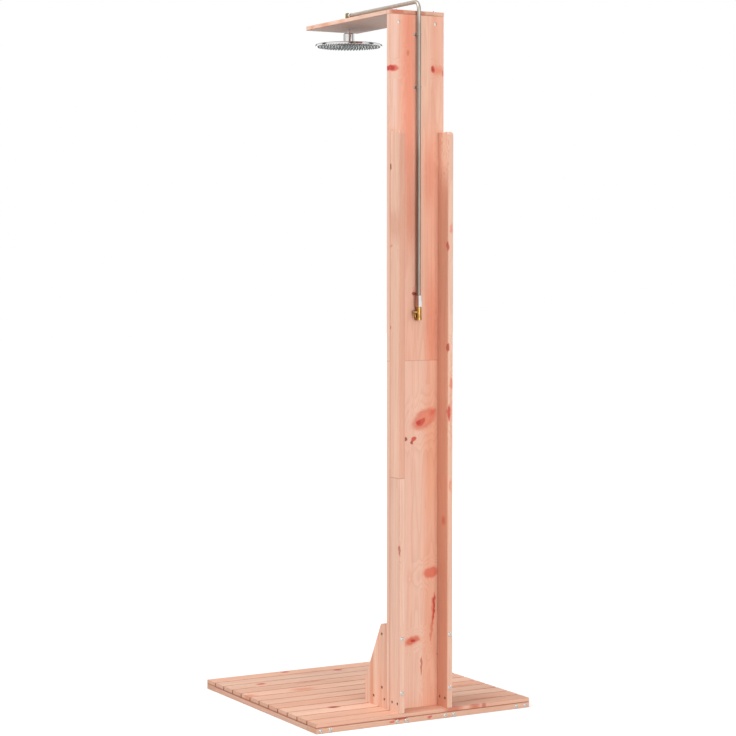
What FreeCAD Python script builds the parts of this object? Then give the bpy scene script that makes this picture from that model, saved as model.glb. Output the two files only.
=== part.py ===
import FreeCAD, Part
import math
import os
import re
import Sketcher

# Outdoor shower post: a slatted deck, a channel-shaped post of flat boards, a short roof board and
# one bent tube that carries water from a lever valve on the plumbing side to the overhead shower.
#
# Frame: X runs along the deck's near edge, on the plumbing side. Y runs from there to the showering
# side. Z is up from the ground. The origin is under the middle of the deck. Millimetres.

SIZES = [
    # deck
    ("deck_width", 800, "deck along X"),
    ("slat_count", 12, "slats on the deck"),
    ("slat_width", 61, "one slat along Y"),
    ("slat_gap", 6, "drain gap between slats"),
    ("slat_thick", 14, "slat thickness"),
    ("joist_width", 66, "rails and joists, laid flat"),
    ("joist_thick", 18, "rail and joist thickness"),
    ("board_arris", 2, "rounded edge along every board"),
    # post
    ("post_width", 200, "post along X"),
    ("board_thick", 21, "web, flange and gusset boards"),
    ("flange_depth", 60, "flange boards along Y"),
    ("web_lower_length", 1126, "lower web board"),
    ("web_upper_length", 1102, "upper web board"),
    ("flange_lower_length", 755, "lower flange boards"),
    ("flange_upper_length", 1103, "upper flange boards"),
    ("flange_top_round", 12, "rounded near corner at a flange's top"),
    ("gusset_height", 274, "gusset above the deck"),
    ("gusset_foot", 138, "gusset along the deck"),
    ("gusset_heel", 76, "upright edge at the gusset's foot"),
    ("gusset_head", 35, "level edge at the gusset's top"),
    ("gusset_round", 8, "rounded corner at the gusset's top"),
    # roof board
    ("roof_length", 566, "roof board along Y"),
    ("roof_thick", 14, "roof board thickness"),
    ("roof_bolt_half_pitch", 68, "roof bolts from the middle"),
    # connector bolts and their barrel nuts
    ("bolt_radius", 3, "bolt shank"),
    ("bolt_tail", 6, "bolt past its barrel nut's middle"),
    ("bolt_head_radius", 6.5, "bolt head"),
    ("bolt_head_height", 3, "bolt head"),
    ("socket_across", 4, "hexagon socket in a bolt head"),
    ("socket_depth", 2, "hexagon socket in a bolt head"),
    ("bolt_clearance", 0.3, "round a bolt in its hole"),
    ("barrel_radius", 5, "barrel nut"),
    ("barrel_length", 16, "barrel nut"),
    ("barrel_clearance", 0.1, "round a barrel nut in its hole"),
    ("barrel_setback", 30, "barrel nut's middle from the joint it pulls together"),
    ("roof_barrel_setback", 25, "the same, under the roof board"),
    ("joist_barrel_length", 13, "barrel nut upright in a joist"),
    ("head_recess", 4, "counterbore for a bolt head under the deck"),
    ("rail_bolt_pitch", 34, "two bolts into one joist"),
    ("flange_bolt_low", 66, "lower flange bolt above the deck"),
    ("flange_bolt_high", 240, "upper flange bolt above the deck"),
    ("foot_bolt_1", 12, "foot bolt from the near edge, in a flange"),
    ("foot_bolt_2", 45, "foot bolt from the near edge, in a flange"),
    ("foot_bolt_3", 95, "foot bolt from the near edge, in a gusset"),
    ("foot_bolt_4", 164, "foot bolt from the near edge, in a gusset"),
    # wood screws
    ("screw_radius", 2, "wood screw shank"),
    ("screw_head_radius", 4, "countersunk head"),
    ("slat_screw_length", 26, "up through a joist into a slat"),
    ("screw_sink", 0.5, "slat screw's head inside the wood"),
    ("web_screw_length", 60, "through the web into a flange's edge"),
    ("web_screw_margin", 45, "end screw from a board's end"),
    ("short_run_count", 2, "web screws a side in a short run"),
    ("long_run_count", 3, "web screws a side in a long run"),
    ("screw_clearance", 0.1, "round a wood screw"),
    # riser tube and its clips
    ("tube_radius", 6.35, "half-inch tube"),
    ("tube_wall", 1, "tube wall"),
    ("tube_standoff", 11, "tube's axis in front of the web"),
    ("tube_bend", 25, "bend radius on the axis"),
    ("tube_over_roof", 29.5, "tube's axis above the roof board"),
    ("tube_clearance", 0.15, "round the tube in its fittings"),
    ("clip_width", 7, "clip along the tube"),
    ("clip_thick", 0.8, "clip strip"),
    ("clip_ear", 5.5, "clip ear past the strap"),
    ("clip_high", 62, "upper clip below the roof board"),
    ("clip_low", 229, "lower clip below the roof board"),
    ("clip_screw_radius", 1.25, "clip screw shank"),
    ("clip_screw_head", 2.3, "clip screw head radius"),
    ("clip_screw_length", 16, "clip screw"),
    # compression joints
    ("nut_across", 18, "compression nut across flats"),
    ("nut_height", 17, "compression nut on the adapter"),
    ("thread_radius", 7.6, "male thread inside a compression nut"),
    ("thread_length", 8, "male thread inside the adapter's nut"),
    ("thread_clearance", 0.1, "between a nut and its thread"),
    ("olive_height", 3, "sealing ring"),
    ("tube_socket", 11, "tube inside the adapter"),
    # adapter and lever valve
    ("adapter_across", 20, "adapter's hexagon across flats"),
    ("adapter_height", 19, "adapter's hexagon"),
    ("adapter_bore", 5, "adapter's waterway radius"),
    ("adapter_tail_radius", 6.4, "adapter's thread in the valve"),
    ("inlet_height", 1288, "hose inlet's rim above the ground"),
    ("inlet_radius", 7.5, "threaded hose inlet"),
    ("inlet_depth", 10, "threaded hose inlet"),
    ("inlet_flare_radius", 10, "thick rim round the hose inlet"),
    ("inlet_flare_height", 9, "thick rim round the hose inlet"),
    ("valve_radius", 9, "valve body"),
    ("valve_length", 43, "valve body"),
    ("valve_axis", 26, "lever's axis above the inlet rim"),
    ("valve_bore", 3.5, "waterway through the valve ball"),
    ("ball_radius", 6, "valve ball"),
    ("ball_clearance", 0.3, "round the valve ball"),
    ("ball_flat", 5, "flat on the valve ball that the spindle drives"),
    ("seat_height", 2.5, "seat ring on the valve ball"),
    ("seat_front", 4.5, "seat ring's inner face from the ball's middle"),
    ("spindle_radius", 2.5, "lever's spindle"),
    ("spindle_clearance", 0.1, "round the spindle"),
    ("boss_radius", 5.5, "boss that carries the spindle"),
    ("boss_reach", 12, "boss's end from the valve's middle"),
    ("gland_thick", 2, "packing nut on the boss"),
    ("lever_gap", 0.4, "packing nut to lever"),
    ("lever_thick", 2.6, "lever"),
    ("lever_boss_radius", 7, "round end of the lever"),
    ("lever_width", 8, "lever's arm"),
    ("lever_length", 20, "lever's axis to its tip"),
    ("lever_drop", 3.5, "the tip bends back towards the body"),
    ("lever_bend", 10, "radius of the lever's bend"),
    ("lever_nut_across", 8, "nut that holds the lever"),
    ("lever_nut_height", 2.4, "nut that holds the lever"),
    # elbow above the roof board and the stem below it
    ("outlet_reach", 448, "shower's axis from the web's near face"),
    ("elbow_radius", 9, "elbow's legs and half of its square block"),
    ("elbow_round", 2, "rounded corners of the elbow's block"),
    ("elbow_shank", 10, "elbow's middle to where its inlet thread starts"),
    ("elbow_thread_length", 4, "male thread inside the elbow's nut"),
    ("elbow_nut_height", 10, "compression nut on the elbow"),
    ("elbow_socket", 8, "tube inside the elbow"),
    ("elbow_foot_radius", 13, "elbow's foot on its washer"),
    ("elbow_foot_height", 3, "elbow's foot"),
    ("washer_thick", 1.5, "washer under the elbow"),
    ("stem_radius", 6, "stem through the roof board"),
    ("stem_wall", 1.5, "stem wall"),
    ("stem_engagement", 12, "stem inside the elbow"),
    ("stem_clearance", 0.1, "round the stem"),
    # shower
    ("ball_drop", 32, "swivel's middle below the roof board"),
    ("swivel_radius", 11, "swivel ball"),
    ("swivel_gap", 0.3, "round the swivel ball"),
    ("swivel_bore", 4, "waterway through the swivel ball"),
    ("neck_length", 15, "swivel's middle to the stem's end"),
    ("collar_radius", 18, "swivel nut"),
    ("collar_up", 17, "swivel nut above the ball's middle"),
    ("collar_down", 17, "swivel nut below the ball's middle"),
    ("collar_lip", 5.5, "where the nut closes over the ball"),
    ("collar_mouth_radius", 11.8, "nut's mouth, wide enough for the tilt"),
    ("collar_chamfer", 3, "nut's top edge"),
    ("hub_radius", 14.8, "shower's threaded hub"),
    ("hub_gap", 3, "hub's end below the ball's middle"),
    ("seat_ring_radius", 12.4, "ring under the swivel ball"),
    ("seat_ring_height", 9, "ring under the swivel ball"),
    ("seat_ring_floor", 2.2, "ring's floor under the swivel ball"),
    ("shower_radius", 112.5, "shower"),
    ("shower_edge", 8, "shower's rim"),
    ("shower_dome", 3, "shower's back rises to its hub"),
    ("rim_width", 4, "polished rim round the face"),
    ("face_thick", 1.2, "face plate"),
    ("mat_thick", 2, "nozzle mat"),
    ("shell_thick", 1.5, "shower's shell"),
]

# Places worked out from the sizes. Each is written once and used by every piece that meets there.
PLACES = {
    "deck_depth": "slat_count * slat_width + (slat_count - 1) * slat_gap",
    "near_edge": "-deck_depth / 2",
    "deck_top": "joist_thick + slat_thick",
    "joist_length": "deck_depth - 2 * joist_width",
    "outer_joist": "deck_width / 2 - joist_width / 2",
    "flange_mid": "post_width / 2 - board_thick / 2",
    "web_near": "near_edge + flange_depth",
    "web_far": "web_near + board_thick",
    "web_splice": "deck_top + web_lower_length",
    "flange_splice": "deck_top + flange_lower_length",
    "flange_top": "flange_splice + flange_upper_length",
    "roof_under": "web_splice + web_upper_length",
    "roof_top": "roof_under + roof_thick",
    "bolt_hole": "bolt_radius + bolt_clearance",
    "head_hole": "bolt_head_radius + bolt_clearance",
    "barrel_hole": "barrel_radius + barrel_clearance",
    "hole_past_barrel": "barrel_setback + bolt_tail + bolt_clearance",
    "screw_hole": "screw_radius + screw_clearance",
    "tube_y": "web_near - tube_standoff",
    "tube_bore": "tube_radius - tube_wall",
    "tube_hole": "tube_radius + tube_clearance",
    "tube_run": "roof_top + tube_over_roof",
    "outlet_y": "web_near + outlet_reach",
    "adapter_foot": "inlet_height + valve_length",
    "adapter_shoulder": "adapter_foot + adapter_height",
    "tube_foot": "adapter_shoulder + thread_length - tube_socket",
    "tube_end": "outlet_y - elbow_shank - elbow_thread_length + elbow_socket",
    "seat_back": "seat_front + seat_height",
    "seat_face": "ball_radius + ball_clearance",
    "adapter_tail": "valve_length - valve_axis - (seat_back)",
    "lever_z": "inlet_height + valve_axis",
    "lever_inner": "boss_reach + gland_thick + lever_gap",
    "lever_outer": "lever_inner + lever_thick",
    "washer_top": "roof_top + washer_thick",
    "stem_top": "washer_top + stem_engagement",
    "swivel_z": "roof_under - ball_drop",
    "cavity_radius": "swivel_radius + swivel_gap",
    "stem_foot": "swivel_z + neck_length",
    "seat_floor": "cavity_radius + seat_ring_floor",
    "shower_foot": "swivel_z - collar_down - swivel_gap - shower_dome - shower_edge",
}

ALIASES = {alias for alias, value, meaning in SIZES}
WORD = re.compile(r"[A-Za-z_][A-Za-z_0-9]*")
AXES = "xyz"
FACING_DOWN = FreeCAD.Rotation(FreeCAD.Vector(1, 0, 0), 180)
FACING_NEAR = FreeCAD.Rotation(FreeCAD.Vector(1, 0, 0), 90)
FACING_FAR = FreeCAD.Rotation(FreeCAD.Vector(1, 0, 0), -90)
FACING_LEFT = FreeCAD.Rotation(FreeCAD.Vector(0, 1, 0), -90)
FACING_RIGHT = FreeCAD.Rotation(FreeCAD.Vector(0, 1, 0), 90)
ACROSS = FreeCAD.Rotation(FreeCAD.Vector(0, 0, 1), 90)
LEFT = -1
RIGHT = 1
COUNTERSINK_ANGLE = 45

doc = FreeCAD.newDocument("outdoor_shower_post")
sheet = doc.addObject("Spreadsheet::Sheet", "sizes")
for row, (alias, value, meaning) in enumerate(SIZES, start=1):
    sheet.set(f"A{row}", meaning)
    sheet.set(f"B{row}", str(value))
    sheet.setAlias(f"B{row}", alias)
doc.recompute()

nodes = []


def formula(text):
    """Write a place's words out as an expression that reads the sheet."""

    def spell(match):
        word = match.group(0)
        if word in PLACES:
            return f"({formula(PLACES[word])})"
        return f"sizes.{word}" if word in ALIASES else word

    return WORD.sub(spell, str(text))


def number(text):
    """The value that an expression has now, for choosing edges and a sketch's first guess."""
    return float(sheet.evalExpression(formula(text)))


def bind(thing, prop, text):
    thing.setExpression(prop, formula(text))


def place(thing, x, y, z, turn=None):
    """Put a body where three expressions say, turned by a fixed rotation."""
    if turn is not None:
        thing.Placement = FreeCAD.Placement(FreeCAD.Vector(), turn)
    for axis, text in zip(AXES, (x, y, z)):
        bind(thing, f".Placement.Base.{axis}", text)


def keep(thing, label):
    """Name a finished sub-part and list it for export."""
    thing.Label = label
    nodes.append(thing)
    return thing


# ---- sketches and features ------------------------------------------------------------------


def origin_feature(body, role):
    return next(part for part in body.Origin.OriginFeatures if part.Role == role)


def sketch_on(body, role, offset=None):
    """A new sketch on one of the body's own origin planes, moved along the plane's normal."""
    drawing = body.newObject("Sketcher::SketchObject", "sketch")
    drawing.AttachmentSupport = [(origin_feature(body, role), "")]
    drawing.MapMode = "FlatFace"
    if offset is not None:
        bind(drawing, ".AttachmentOffset.Base.z", offset)
    return drawing


def pin_point(drawing, edge, end, x, y):
    """Fix a sketch point at two expressions. Zero puts it on an axis."""
    for kind, text, axis in (("DistanceX", x, -2), ("DistanceY", y, -1)):
        if str(text) == "0":
            drawing.addConstraint(Sketcher.Constraint("PointOnObject", edge, end, axis))
            continue
        index = drawing.addConstraint(Sketcher.Constraint(kind, -1, 1, edge, end, number(text)))
        bind(drawing, f"Constraints[{index}]", text)


def draw_outline(drawing, corners):
    """Closed outline of straight edges through corners, each an (x, y) pair of expressions."""
    points = [FreeCAD.Vector(number(x), number(y), 0) for x, y in corners]
    first = drawing.GeometryCount
    count = len(corners)
    for start, end in zip(points, points[1:] + points[:1]):
        drawing.addGeometry(Part.LineSegment(start, end), False)
    for step in range(count):
        here, after = first + step, first + (step + 1) % count
        drawing.addConstraint(Sketcher.Constraint("Coincident", here, 2, after, 1))
    for step, (x, y) in enumerate(corners):
        pin_point(drawing, first + step, 1, x, y)


def draw_circle(drawing, x, y, radius):
    centre = FreeCAD.Vector(number(x), number(y), 0)
    ring = drawing.addGeometry(Part.Circle(centre, FreeCAD.Vector(0, 0, 1), number(radius)), False)
    pin_point(drawing, ring, 3, x, y)
    index = drawing.addConstraint(Sketcher.Constraint("Radius", ring, number(radius)))
    bind(drawing, f"Constraints[{index}]", radius)


def hexagon(across):
    """Corners of a hexagon of the given width across flats, about the sketch's origin."""
    half, corner, side = f"({across}) / 2", f"({across}) / sqrt(3)", f"({across}) / (2 * sqrt(3))"
    return [
        (corner, "0"),
        (side, half),
        (f"-{side}", half),
        (f"-{corner}", "0"),
        (f"-{side}", f"-{half}"),
        (side, f"-{half}"),
    ]


def pad(body, drawing, length):
    feature = body.newObject("PartDesign::Pad", "pad")
    feature.Profile = drawing
    bind(feature, "Length", length)
    doc.recompute()
    return feature


def pocket(body, drawing, depth, upwards, taper=0):
    """Cut a sketch into the body, wider by taper degrees as it goes. Stop if the cut misses."""
    before = body.Shape.Volume
    feature = body.newObject("PartDesign::Pocket", "pocket")
    feature.Profile = drawing
    feature.Reversed = upwards
    feature.TaperAngle = taper
    bind(feature, "Length", depth)
    doc.recompute()
    if body.Shape.Volume >= before:
        raise RuntimeError(f"pocket in {body.Label} cuts nothing")
    return feature


def revolve(body, corners):
    """Turn an outline of (radius, height) corners about the body's own Z axis."""
    drawing = sketch_on(body, "XZ_Plane")
    draw_outline(drawing, corners)
    feature = body.newObject("PartDesign::Revolution", "revolution")
    feature.Profile = drawing
    feature.ReferenceAxis = (origin_feature(body, "Z_Axis"), [""])
    feature.Angle = 360
    doc.recompute()
    return feature


def soften(body, wanted, radius):
    """Round the edges that wanted() picks."""
    names = [f"Edge{i}" for i, edge in enumerate(body.Shape.Edges, start=1) if wanted(edge)]
    base = body.Tip
    feature = body.newObject("PartDesign::Fillet", "fillet")
    feature.Base = (base, names)
    bind(feature, "Radius", radius)
    doc.recompute()
    return feature


def runs_along(axis):
    """Picks straight edges along an axis."""
    direction = FreeCAD.Vector(*(1 if name == axis else 0 for name in AXES))

    def wanted(edge):
        if not isinstance(edge.Curve, Part.Line):
            return False
        return abs(abs(edge.Curve.Direction.dot(direction)) - 1) < 1e-6

    return wanted


# A hole starts on a plane of the body's own frame and runs towards the positive axis.
DRILL_PLANES = {"x": ("YZ_Plane", 1, True), "y": ("XZ_Plane", -1, False), "z": ("XY_Plane", 1, True)}


def drill(body, axis, centres, radius, depth, start="0"):
    """Round holes along an axis, at centres given in the two other directions."""
    role, sign, upwards = DRILL_PLANES[axis]
    offset = None if start == "0" else f"{sign} * ({start})"
    drawing = sketch_on(body, role, offset)
    for across, along in centres:
        draw_circle(drawing, across, along, radius)
    return pocket(body, drawing, depth, upwards)


def countersink(body, axis, centres, start):
    """Cone for a screw's flat head, from start out to the face. Its sides stand at 45 degrees."""
    role, sign, upwards = DRILL_PLANES[axis]
    drawing = sketch_on(body, role, f"{sign} * ({start})")
    for across, along in centres:
        draw_circle(drawing, across, along, "screw_hole")
    pocket(body, drawing, "screw_head_radius - screw_radius", upwards, COUNTERSINK_ANGLE)


def board(label, corner, size, grain):
    """A planed board with its low corner at corner, rounded along its grain."""
    body = doc.addObject("PartDesign::Body", label)
    drawing = sketch_on(body, "XY_Plane")
    wide, deep, high = size
    draw_outline(drawing, [("0", "0"), (wide, "0"), (wide, deep), ("0", deep)])
    pad(body, drawing, high)
    soften(body, runs_along(grain), "board_arris")
    place(body, *corner)
    return keep(body, label)


def turned(label, corners, x, y, z, turn=None):
    """A piece turned about its own axis, as a body at a place."""
    body = doc.addObject("PartDesign::Body", label)
    revolve(body, corners)
    place(body, x, y, z, turn)
    return body


def primitive(kind, x="0", y="0", z="0", turn=None, **sizes):
    """A Part primitive whose sizes and place are expressions."""
    solid = doc.addObject(f"Part::{kind}", kind.lower())
    for prop, text in sizes.items():
        bind(solid, prop, text)
    place(solid, x, y, z, turn)
    return solid


def fuse(label, *solids):
    joined = doc.addObject("Part::MultiFuse", label)
    joined.Shapes = list(solids)
    return joined


def cut(label, base, *tools):
    """Take tools away from base."""
    tool = tools[0] if len(tools) == 1 else fuse(f"{label}_tools", *tools)
    result = doc.addObject("Part::Cut", label)
    result.Base = base
    result.Tool = tool
    return result


def copies(label, master, places, turn=None):
    """Many of one fastener, as separate solids in one node."""
    links = []
    for x, y, z in places:
        link = doc.addObject("App::Link", f"{label}_copy")
        link.LinkedObject = master
        place(link, x, y, z, turn)
        links.append(link)
    return links


def group(label, links):
    compound = doc.addObject("Part::Compound", label)
    compound.Links = links
    return keep(compound, label)


# ---- fasteners ------------------------------------------------------------------------------


def connector_bolt(name, length):
    """Domed connector bolt with a hexagon socket. Its head stands on Z = 0 and its shank hangs below."""
    body = doc.addObject("PartDesign::Body", name)
    revolve(body, [
        ("0", f"-({length})"),
        ("bolt_radius", f"-({length})"),
        ("bolt_radius", "0"),
        ("bolt_head_radius", "0"),
        ("bolt_head_radius", "bolt_head_height / 3"),
        ("bolt_head_radius * 0.7", "bolt_head_height"),
        ("0", "bolt_head_height"),
    ])
    socket = sketch_on(body, "XY_Plane", "bolt_head_height")
    draw_outline(socket, hexagon("socket_across"))
    pocket(body, socket, "socket_depth", False)
    return body


def barrel_nut(name, length):
    """Cross dowel: a short bar along X with a threaded hole across its middle."""
    half = f"({length}) / 2"
    bar = primitive("Cylinder", f"-{half}", turn=FACING_RIGHT, Radius="barrel_radius", Height=length)
    hole = primitive(
        "Cylinder", z="-barrel_radius * 1.1", Radius="bolt_radius + barrel_clearance", Height="barrel_radius * 2.2"
    )
    return cut(name, bar, hole)


def wood_screw(name, length):
    """Countersunk screw: its flat head lies in Z = 0 and its point hangs below."""
    body = doc.addObject("PartDesign::Body", name)
    revolve(body, [
        ("0", f"-({length})"),
        ("screw_radius", f"-({length}) + 2 * screw_radius"),
        ("screw_radius", "-(screw_head_radius - screw_radius)"),
        ("screw_head_radius", "0"),
        ("0", "0"),
    ])
    return body


# ---- deck -----------------------------------------------------------------------------------

FOOT_BOLTS = ["foot_bolt_1", "foot_bolt_2", "foot_bolt_3", "foot_bolt_4"]
JOISTS = ["-(outer_joist)", "-(flange_mid)", "flange_mid", "outer_joist"]
SLAT_SCREWS = ["-(outer_joist)", "outer_joist"]
PAIR = ["-rail_bolt_pitch / 2", "rail_bolt_pitch / 2"]


def slat_start(index):
    """Near edge of a slat, from the deck's near edge."""
    return f"{index} * (slat_width + slat_gap)"


def sink_screws_up(wood, screws):
    """Holes for screws that come up from below, with their heads just inside the wood."""
    drill(wood, "z", screws, "screw_hole", "joist_thick")
    head = "screw_head_radius + screw_clearance"
    drill(wood, "z", screws, head, "screw_sink + screw_head_radius - screw_radius")


def build_deck():
    """Two rails along X, four joists between them, and slats across the joists."""
    half = "deck_width / 2"
    rail_size = ("deck_width", "joist_width", "joist_thick")
    bolts = [(f"{half} + ({joist}) + ({side})", "joist_thick / 2") for joist in JOISTS for side in PAIR]
    for label, y in (("rail_near", "near_edge"), ("rail_far", "-(near_edge) - joist_width")):
        rail = board(label, (f"-{half}", y, "0"), rail_size, "x")
        drill(rail, "y", bolts, "bolt_hole", "joist_width")
        slat_middle = "slat_width / 2" if label == "rail_near" else "joist_width - slat_width / 2"
        screws = [(f"{half} + ({x})", slat_middle) for x in SLAT_SCREWS]
        sink_screws_up(rail, screws)
        if label == "rail_near":
            feet = [(f"{half} + ({x})", y) for x in JOISTS[1:3] for y in FOOT_BOLTS[:2]]
            drill(rail, "z", feet, "bolt_hole", "joist_thick")
            drill(rail, "z", feet, "head_hole", "head_recess")

    for index, joist in enumerate(JOISTS, start=1):
        corner = (f"{joist} - joist_width / 2", "near_edge + joist_width", "0")
        piece = board(f"joist_{index}", corner, ("joist_width", "joist_length", "joist_thick"), "y")
        pair = [(f"joist_width / 2 + ({side})", "joist_thick / 2") for side in PAIR]
        drill(piece, "y", pair, "bolt_hole", "hole_past_barrel")
        drill(piece, "y", pair, "bolt_hole", "hole_past_barrel", "joist_length - (hole_past_barrel)")
        barrels = [(x, y) for x, z in pair for y in ("barrel_setback", "joist_length - barrel_setback")]
        drill(piece, "z", barrels, "barrel_hole", "(joist_thick + joist_barrel_length) / 2 + barrel_clearance")
        if joist in SLAT_SCREWS:
            inner_slats = range(1, int(number("slat_count")) - 1)
            sink_screws_up(piece, [
                ("joist_width / 2", f"{slat_start(slat)} + slat_width / 2 - joist_width") for slat in inner_slats
            ])
        else:
            feet = [("joist_width / 2", f"{bolt} - joist_width") for bolt in FOOT_BOLTS[2:]]
            drill(piece, "z", feet, "bolt_hole", "joist_thick")
            drill(piece, "z", feet, "head_hole", "head_recess")

    for index in range(int(number("slat_count"))):
        start = slat_start(index)
        corner = (f"-{half}", f"near_edge + {start}", "joist_thick")
        slat = board(f"slat_{index + 1:02d}", corner, ("deck_width", "slat_width", "slat_thick"), "x")
        screws = [(f"{half} + ({x})", "slat_width / 2") for x in SLAT_SCREWS]
        drill(slat, "z", screws, "screw_hole", "slat_screw_length + screw_sink - joist_thick + screw_clearance")
        low, high = number(start), number(f"{start} + slat_width")
        feet = [
            (f"{half} + ({x})", f"{bolt} - {start}")
            for x in JOISTS[1:3]
            for bolt in FOOT_BOLTS
            if low < number(bolt) < high
        ]
        if feet:
            drill(slat, "z", feet, "bolt_hole", "slat_thick")


def build_deck_fasteners():
    """Bolts through the rails into barrel nuts in the joists, and screws up into the slats."""
    bolt = connector_bolt("rail_bolt", "joist_width + barrel_setback + bolt_tail")
    xs = [f"{joist} + ({side})" for joist in JOISTS for side in PAIR]
    middle = "joist_thick / 2"
    near = copies("rail_bolts", bolt, [(x, "near_edge", middle) for x in xs], FACING_NEAR)
    far = copies("rail_bolts", bolt, [(x, "-(near_edge)", middle) for x in xs], FACING_FAR)
    group("rail_bolts", near + far)

    nut = barrel_nut("joist_barrel_nut", "joist_barrel_length")
    inset = "joist_width + barrel_setback"
    ys = [f"near_edge + {inset}", f"-(near_edge) - ({inset})"]
    upright = FreeCAD.Rotation(FreeCAD.Vector(0, 0, 1), FreeCAD.Vector(1, 0, 0), FreeCAD.Vector(0, 1, 0), "ZXY")
    group("joist_barrel_nuts", copies("joist_barrel_nuts", nut, [(x, y, middle) for x in xs for y in ys], upright))

    screw = wood_screw("slat_screw", "slat_screw_length")
    last = int(number("slat_count"))
    spots = [
        (x, f"near_edge + {slat_start(slat)} + slat_width / 2", "screw_sink")
        for slat in range(last)
        for x in SLAT_SCREWS
    ]
    group("slat_screws", copies("slat_screws", screw, spots, FACING_DOWN))


# ---- post -----------------------------------------------------------------------------------

SIDES = {"left": "-(flange_mid)", "right": "flange_mid"}
FLANGE_BOLTS = ["flange_bolt_low", "flange_bolt_high"]
# Each run of web screws: from one height to another above the deck, and how many a side.
SCREW_RUNS = [
    ("gusset_height", "flange_lower_length", "short_run_count"),
    ("flange_lower_length", "web_lower_length", "short_run_count"),
    ("web_lower_length", "flange_lower_length + flange_upper_length", "long_run_count"),
]


def screw_heights(low, high, count):
    """Evenly spaced screws with a margin at both ends of a run."""
    pitch = f"(({high}) - ({low}) - 2 * web_screw_margin) / ({count} - 1)"
    return [f"({low}) + web_screw_margin + {step} * {pitch}" for step in range(int(number(count)))]


def build_flange(side, middle):
    """A lower and an upper board stand on the deck in front of the web, in line with its edge."""
    half = "board_thick / 2"
    thread = "web_screw_length - board_thick"
    for label, start, length, runs in (
        (f"flange_lower_{side}", "0", "flange_lower_length", SCREW_RUNS[:1]),
        (f"flange_upper_{side}", "flange_lower_length", "flange_upper_length", SCREW_RUNS[1:]),
    ):
        body = doc.addObject("PartDesign::Body", label)
        drawing = sketch_on(body, "XY_Plane")
        corners = [("0", "0"), ("board_thick", "0"), ("board_thick", "flange_depth"), ("0", "flange_depth")]
        draw_outline(drawing, corners)
        pad(body, drawing, length)
        if start != "0":
            top = number(length)
            soften(body, lambda edge: edge.CenterOfMass.y < 1 and edge.CenterOfMass.z > top - 1, "flange_top_round")
        soften(body, runs_along("z"), "board_arris")
        heights = [f"{z} - ({start})" for run in runs for z in screw_heights(*run)]
        drill(body, "y", [(half, z) for z in heights], "screw_hole", thread, f"flange_depth - ({thread})")
        if start == "0":
            feet = FOOT_BOLTS[:2]
            drill(body, "z", [(half, y) for y in feet], "bolt_hole", "hole_past_barrel")
            drill(body, "x", [(y, "barrel_setback") for y in feet], "barrel_hole", "board_thick")
            drill(body, "y", [(half, z) for z in FLANGE_BOLTS], "bolt_hole", "flange_depth")
        place(body, f"{middle} - {half}", "near_edge", f"deck_top + {start}")
        keep(body, label)


def build_gusset(side, middle):
    """A tapered bracket behind the web. Barrel nuts in it take the flange bolts and two foot bolts."""
    half = "board_thick / 2"
    label = f"gusset_{side}"
    body = doc.addObject("PartDesign::Body", label)
    drawing = sketch_on(body, "YZ_Plane")
    draw_outline(drawing, [
        ("0", "0"),
        ("gusset_foot", "0"),
        ("gusset_foot", "gusset_heel"),
        ("gusset_head", "gusset_height"),
        ("0", "gusset_height"),
    ])
    pad(body, drawing, "board_thick")
    head_y, head_z = number("gusset_head"), number("gusset_height")
    corner = FreeCAD.Vector(number(half), head_y, head_z)
    soften(body, lambda edge: edge.CenterOfMass.isEqual(corner, 1e-3), "gusset_round")
    feet = [f"{bolt} - flange_depth - board_thick" for bolt in FOOT_BOLTS[2:]]
    drill(body, "z", [(half, y) for y in feet], "bolt_hole", "hole_past_barrel")
    drill(body, "y", [(half, z) for z in FLANGE_BOLTS], "bolt_hole", "hole_past_barrel")
    barrels = [(y, "barrel_setback") for y in feet] + [("barrel_setback", z) for z in FLANGE_BOLTS]
    drill(body, "x", barrels, "barrel_hole", "board_thick")
    place(body, f"{middle} - {half}", "web_far", "deck_top")
    keep(body, label)


def build_web():
    """The wide board behind the flanges, in two lengths. Its splice lies between the flanges' splices."""
    edges = ["board_thick / 2", "post_width - board_thick / 2"]
    size = ("post_width", "board_thick")
    sink = "screw_head_radius - screw_radius"
    lower = board("web_lower", ("-post_width / 2", "web_near", "deck_top"), (*size, "web_lower_length"), "z")
    upper = board("web_upper", ("-post_width / 2", "web_near", "web_splice"), (*size, "web_upper_length"), "z")
    drill(lower, "y", [(x, z) for x in edges for z in FLANGE_BOLTS], "bolt_hole", "board_thick")
    for web, start, runs in ((lower, "0", SCREW_RUNS[:2]), (upper, "web_lower_length", SCREW_RUNS[2:])):
        heights = [f"{z} - ({start})" for run in runs for z in screw_heights(*run)]
        screws = [(x, z) for x in edges for z in heights]
        drill(web, "y", screws, "screw_hole", "board_thick")
        countersink(web, "y", screws, f"board_thick - ({sink})")
    bolts = [f"post_width / 2 + ({sign} * roof_bolt_half_pitch)" for sign in (LEFT, RIGHT)]
    depth = "roof_barrel_setback + bolt_tail + bolt_clearance"
    drill(upper, "z", [(x, "board_thick / 2") for x in bolts], "bolt_hole", depth, f"web_upper_length - ({depth})")
    barrels = [(x, "web_upper_length - roof_barrel_setback") for x in bolts]
    drill(upper, "y", barrels, "barrel_hole", "board_thick")
    clip_holes = [
        (f"post_width / 2 + ({x})", f"web_upper_length - {drop}") for x in CLIP_SCREWS for drop in CLIP_DROPS
    ]
    drill(upper, "y", clip_holes, "clip_screw_radius + screw_clearance", "clip_screw_length")


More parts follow.
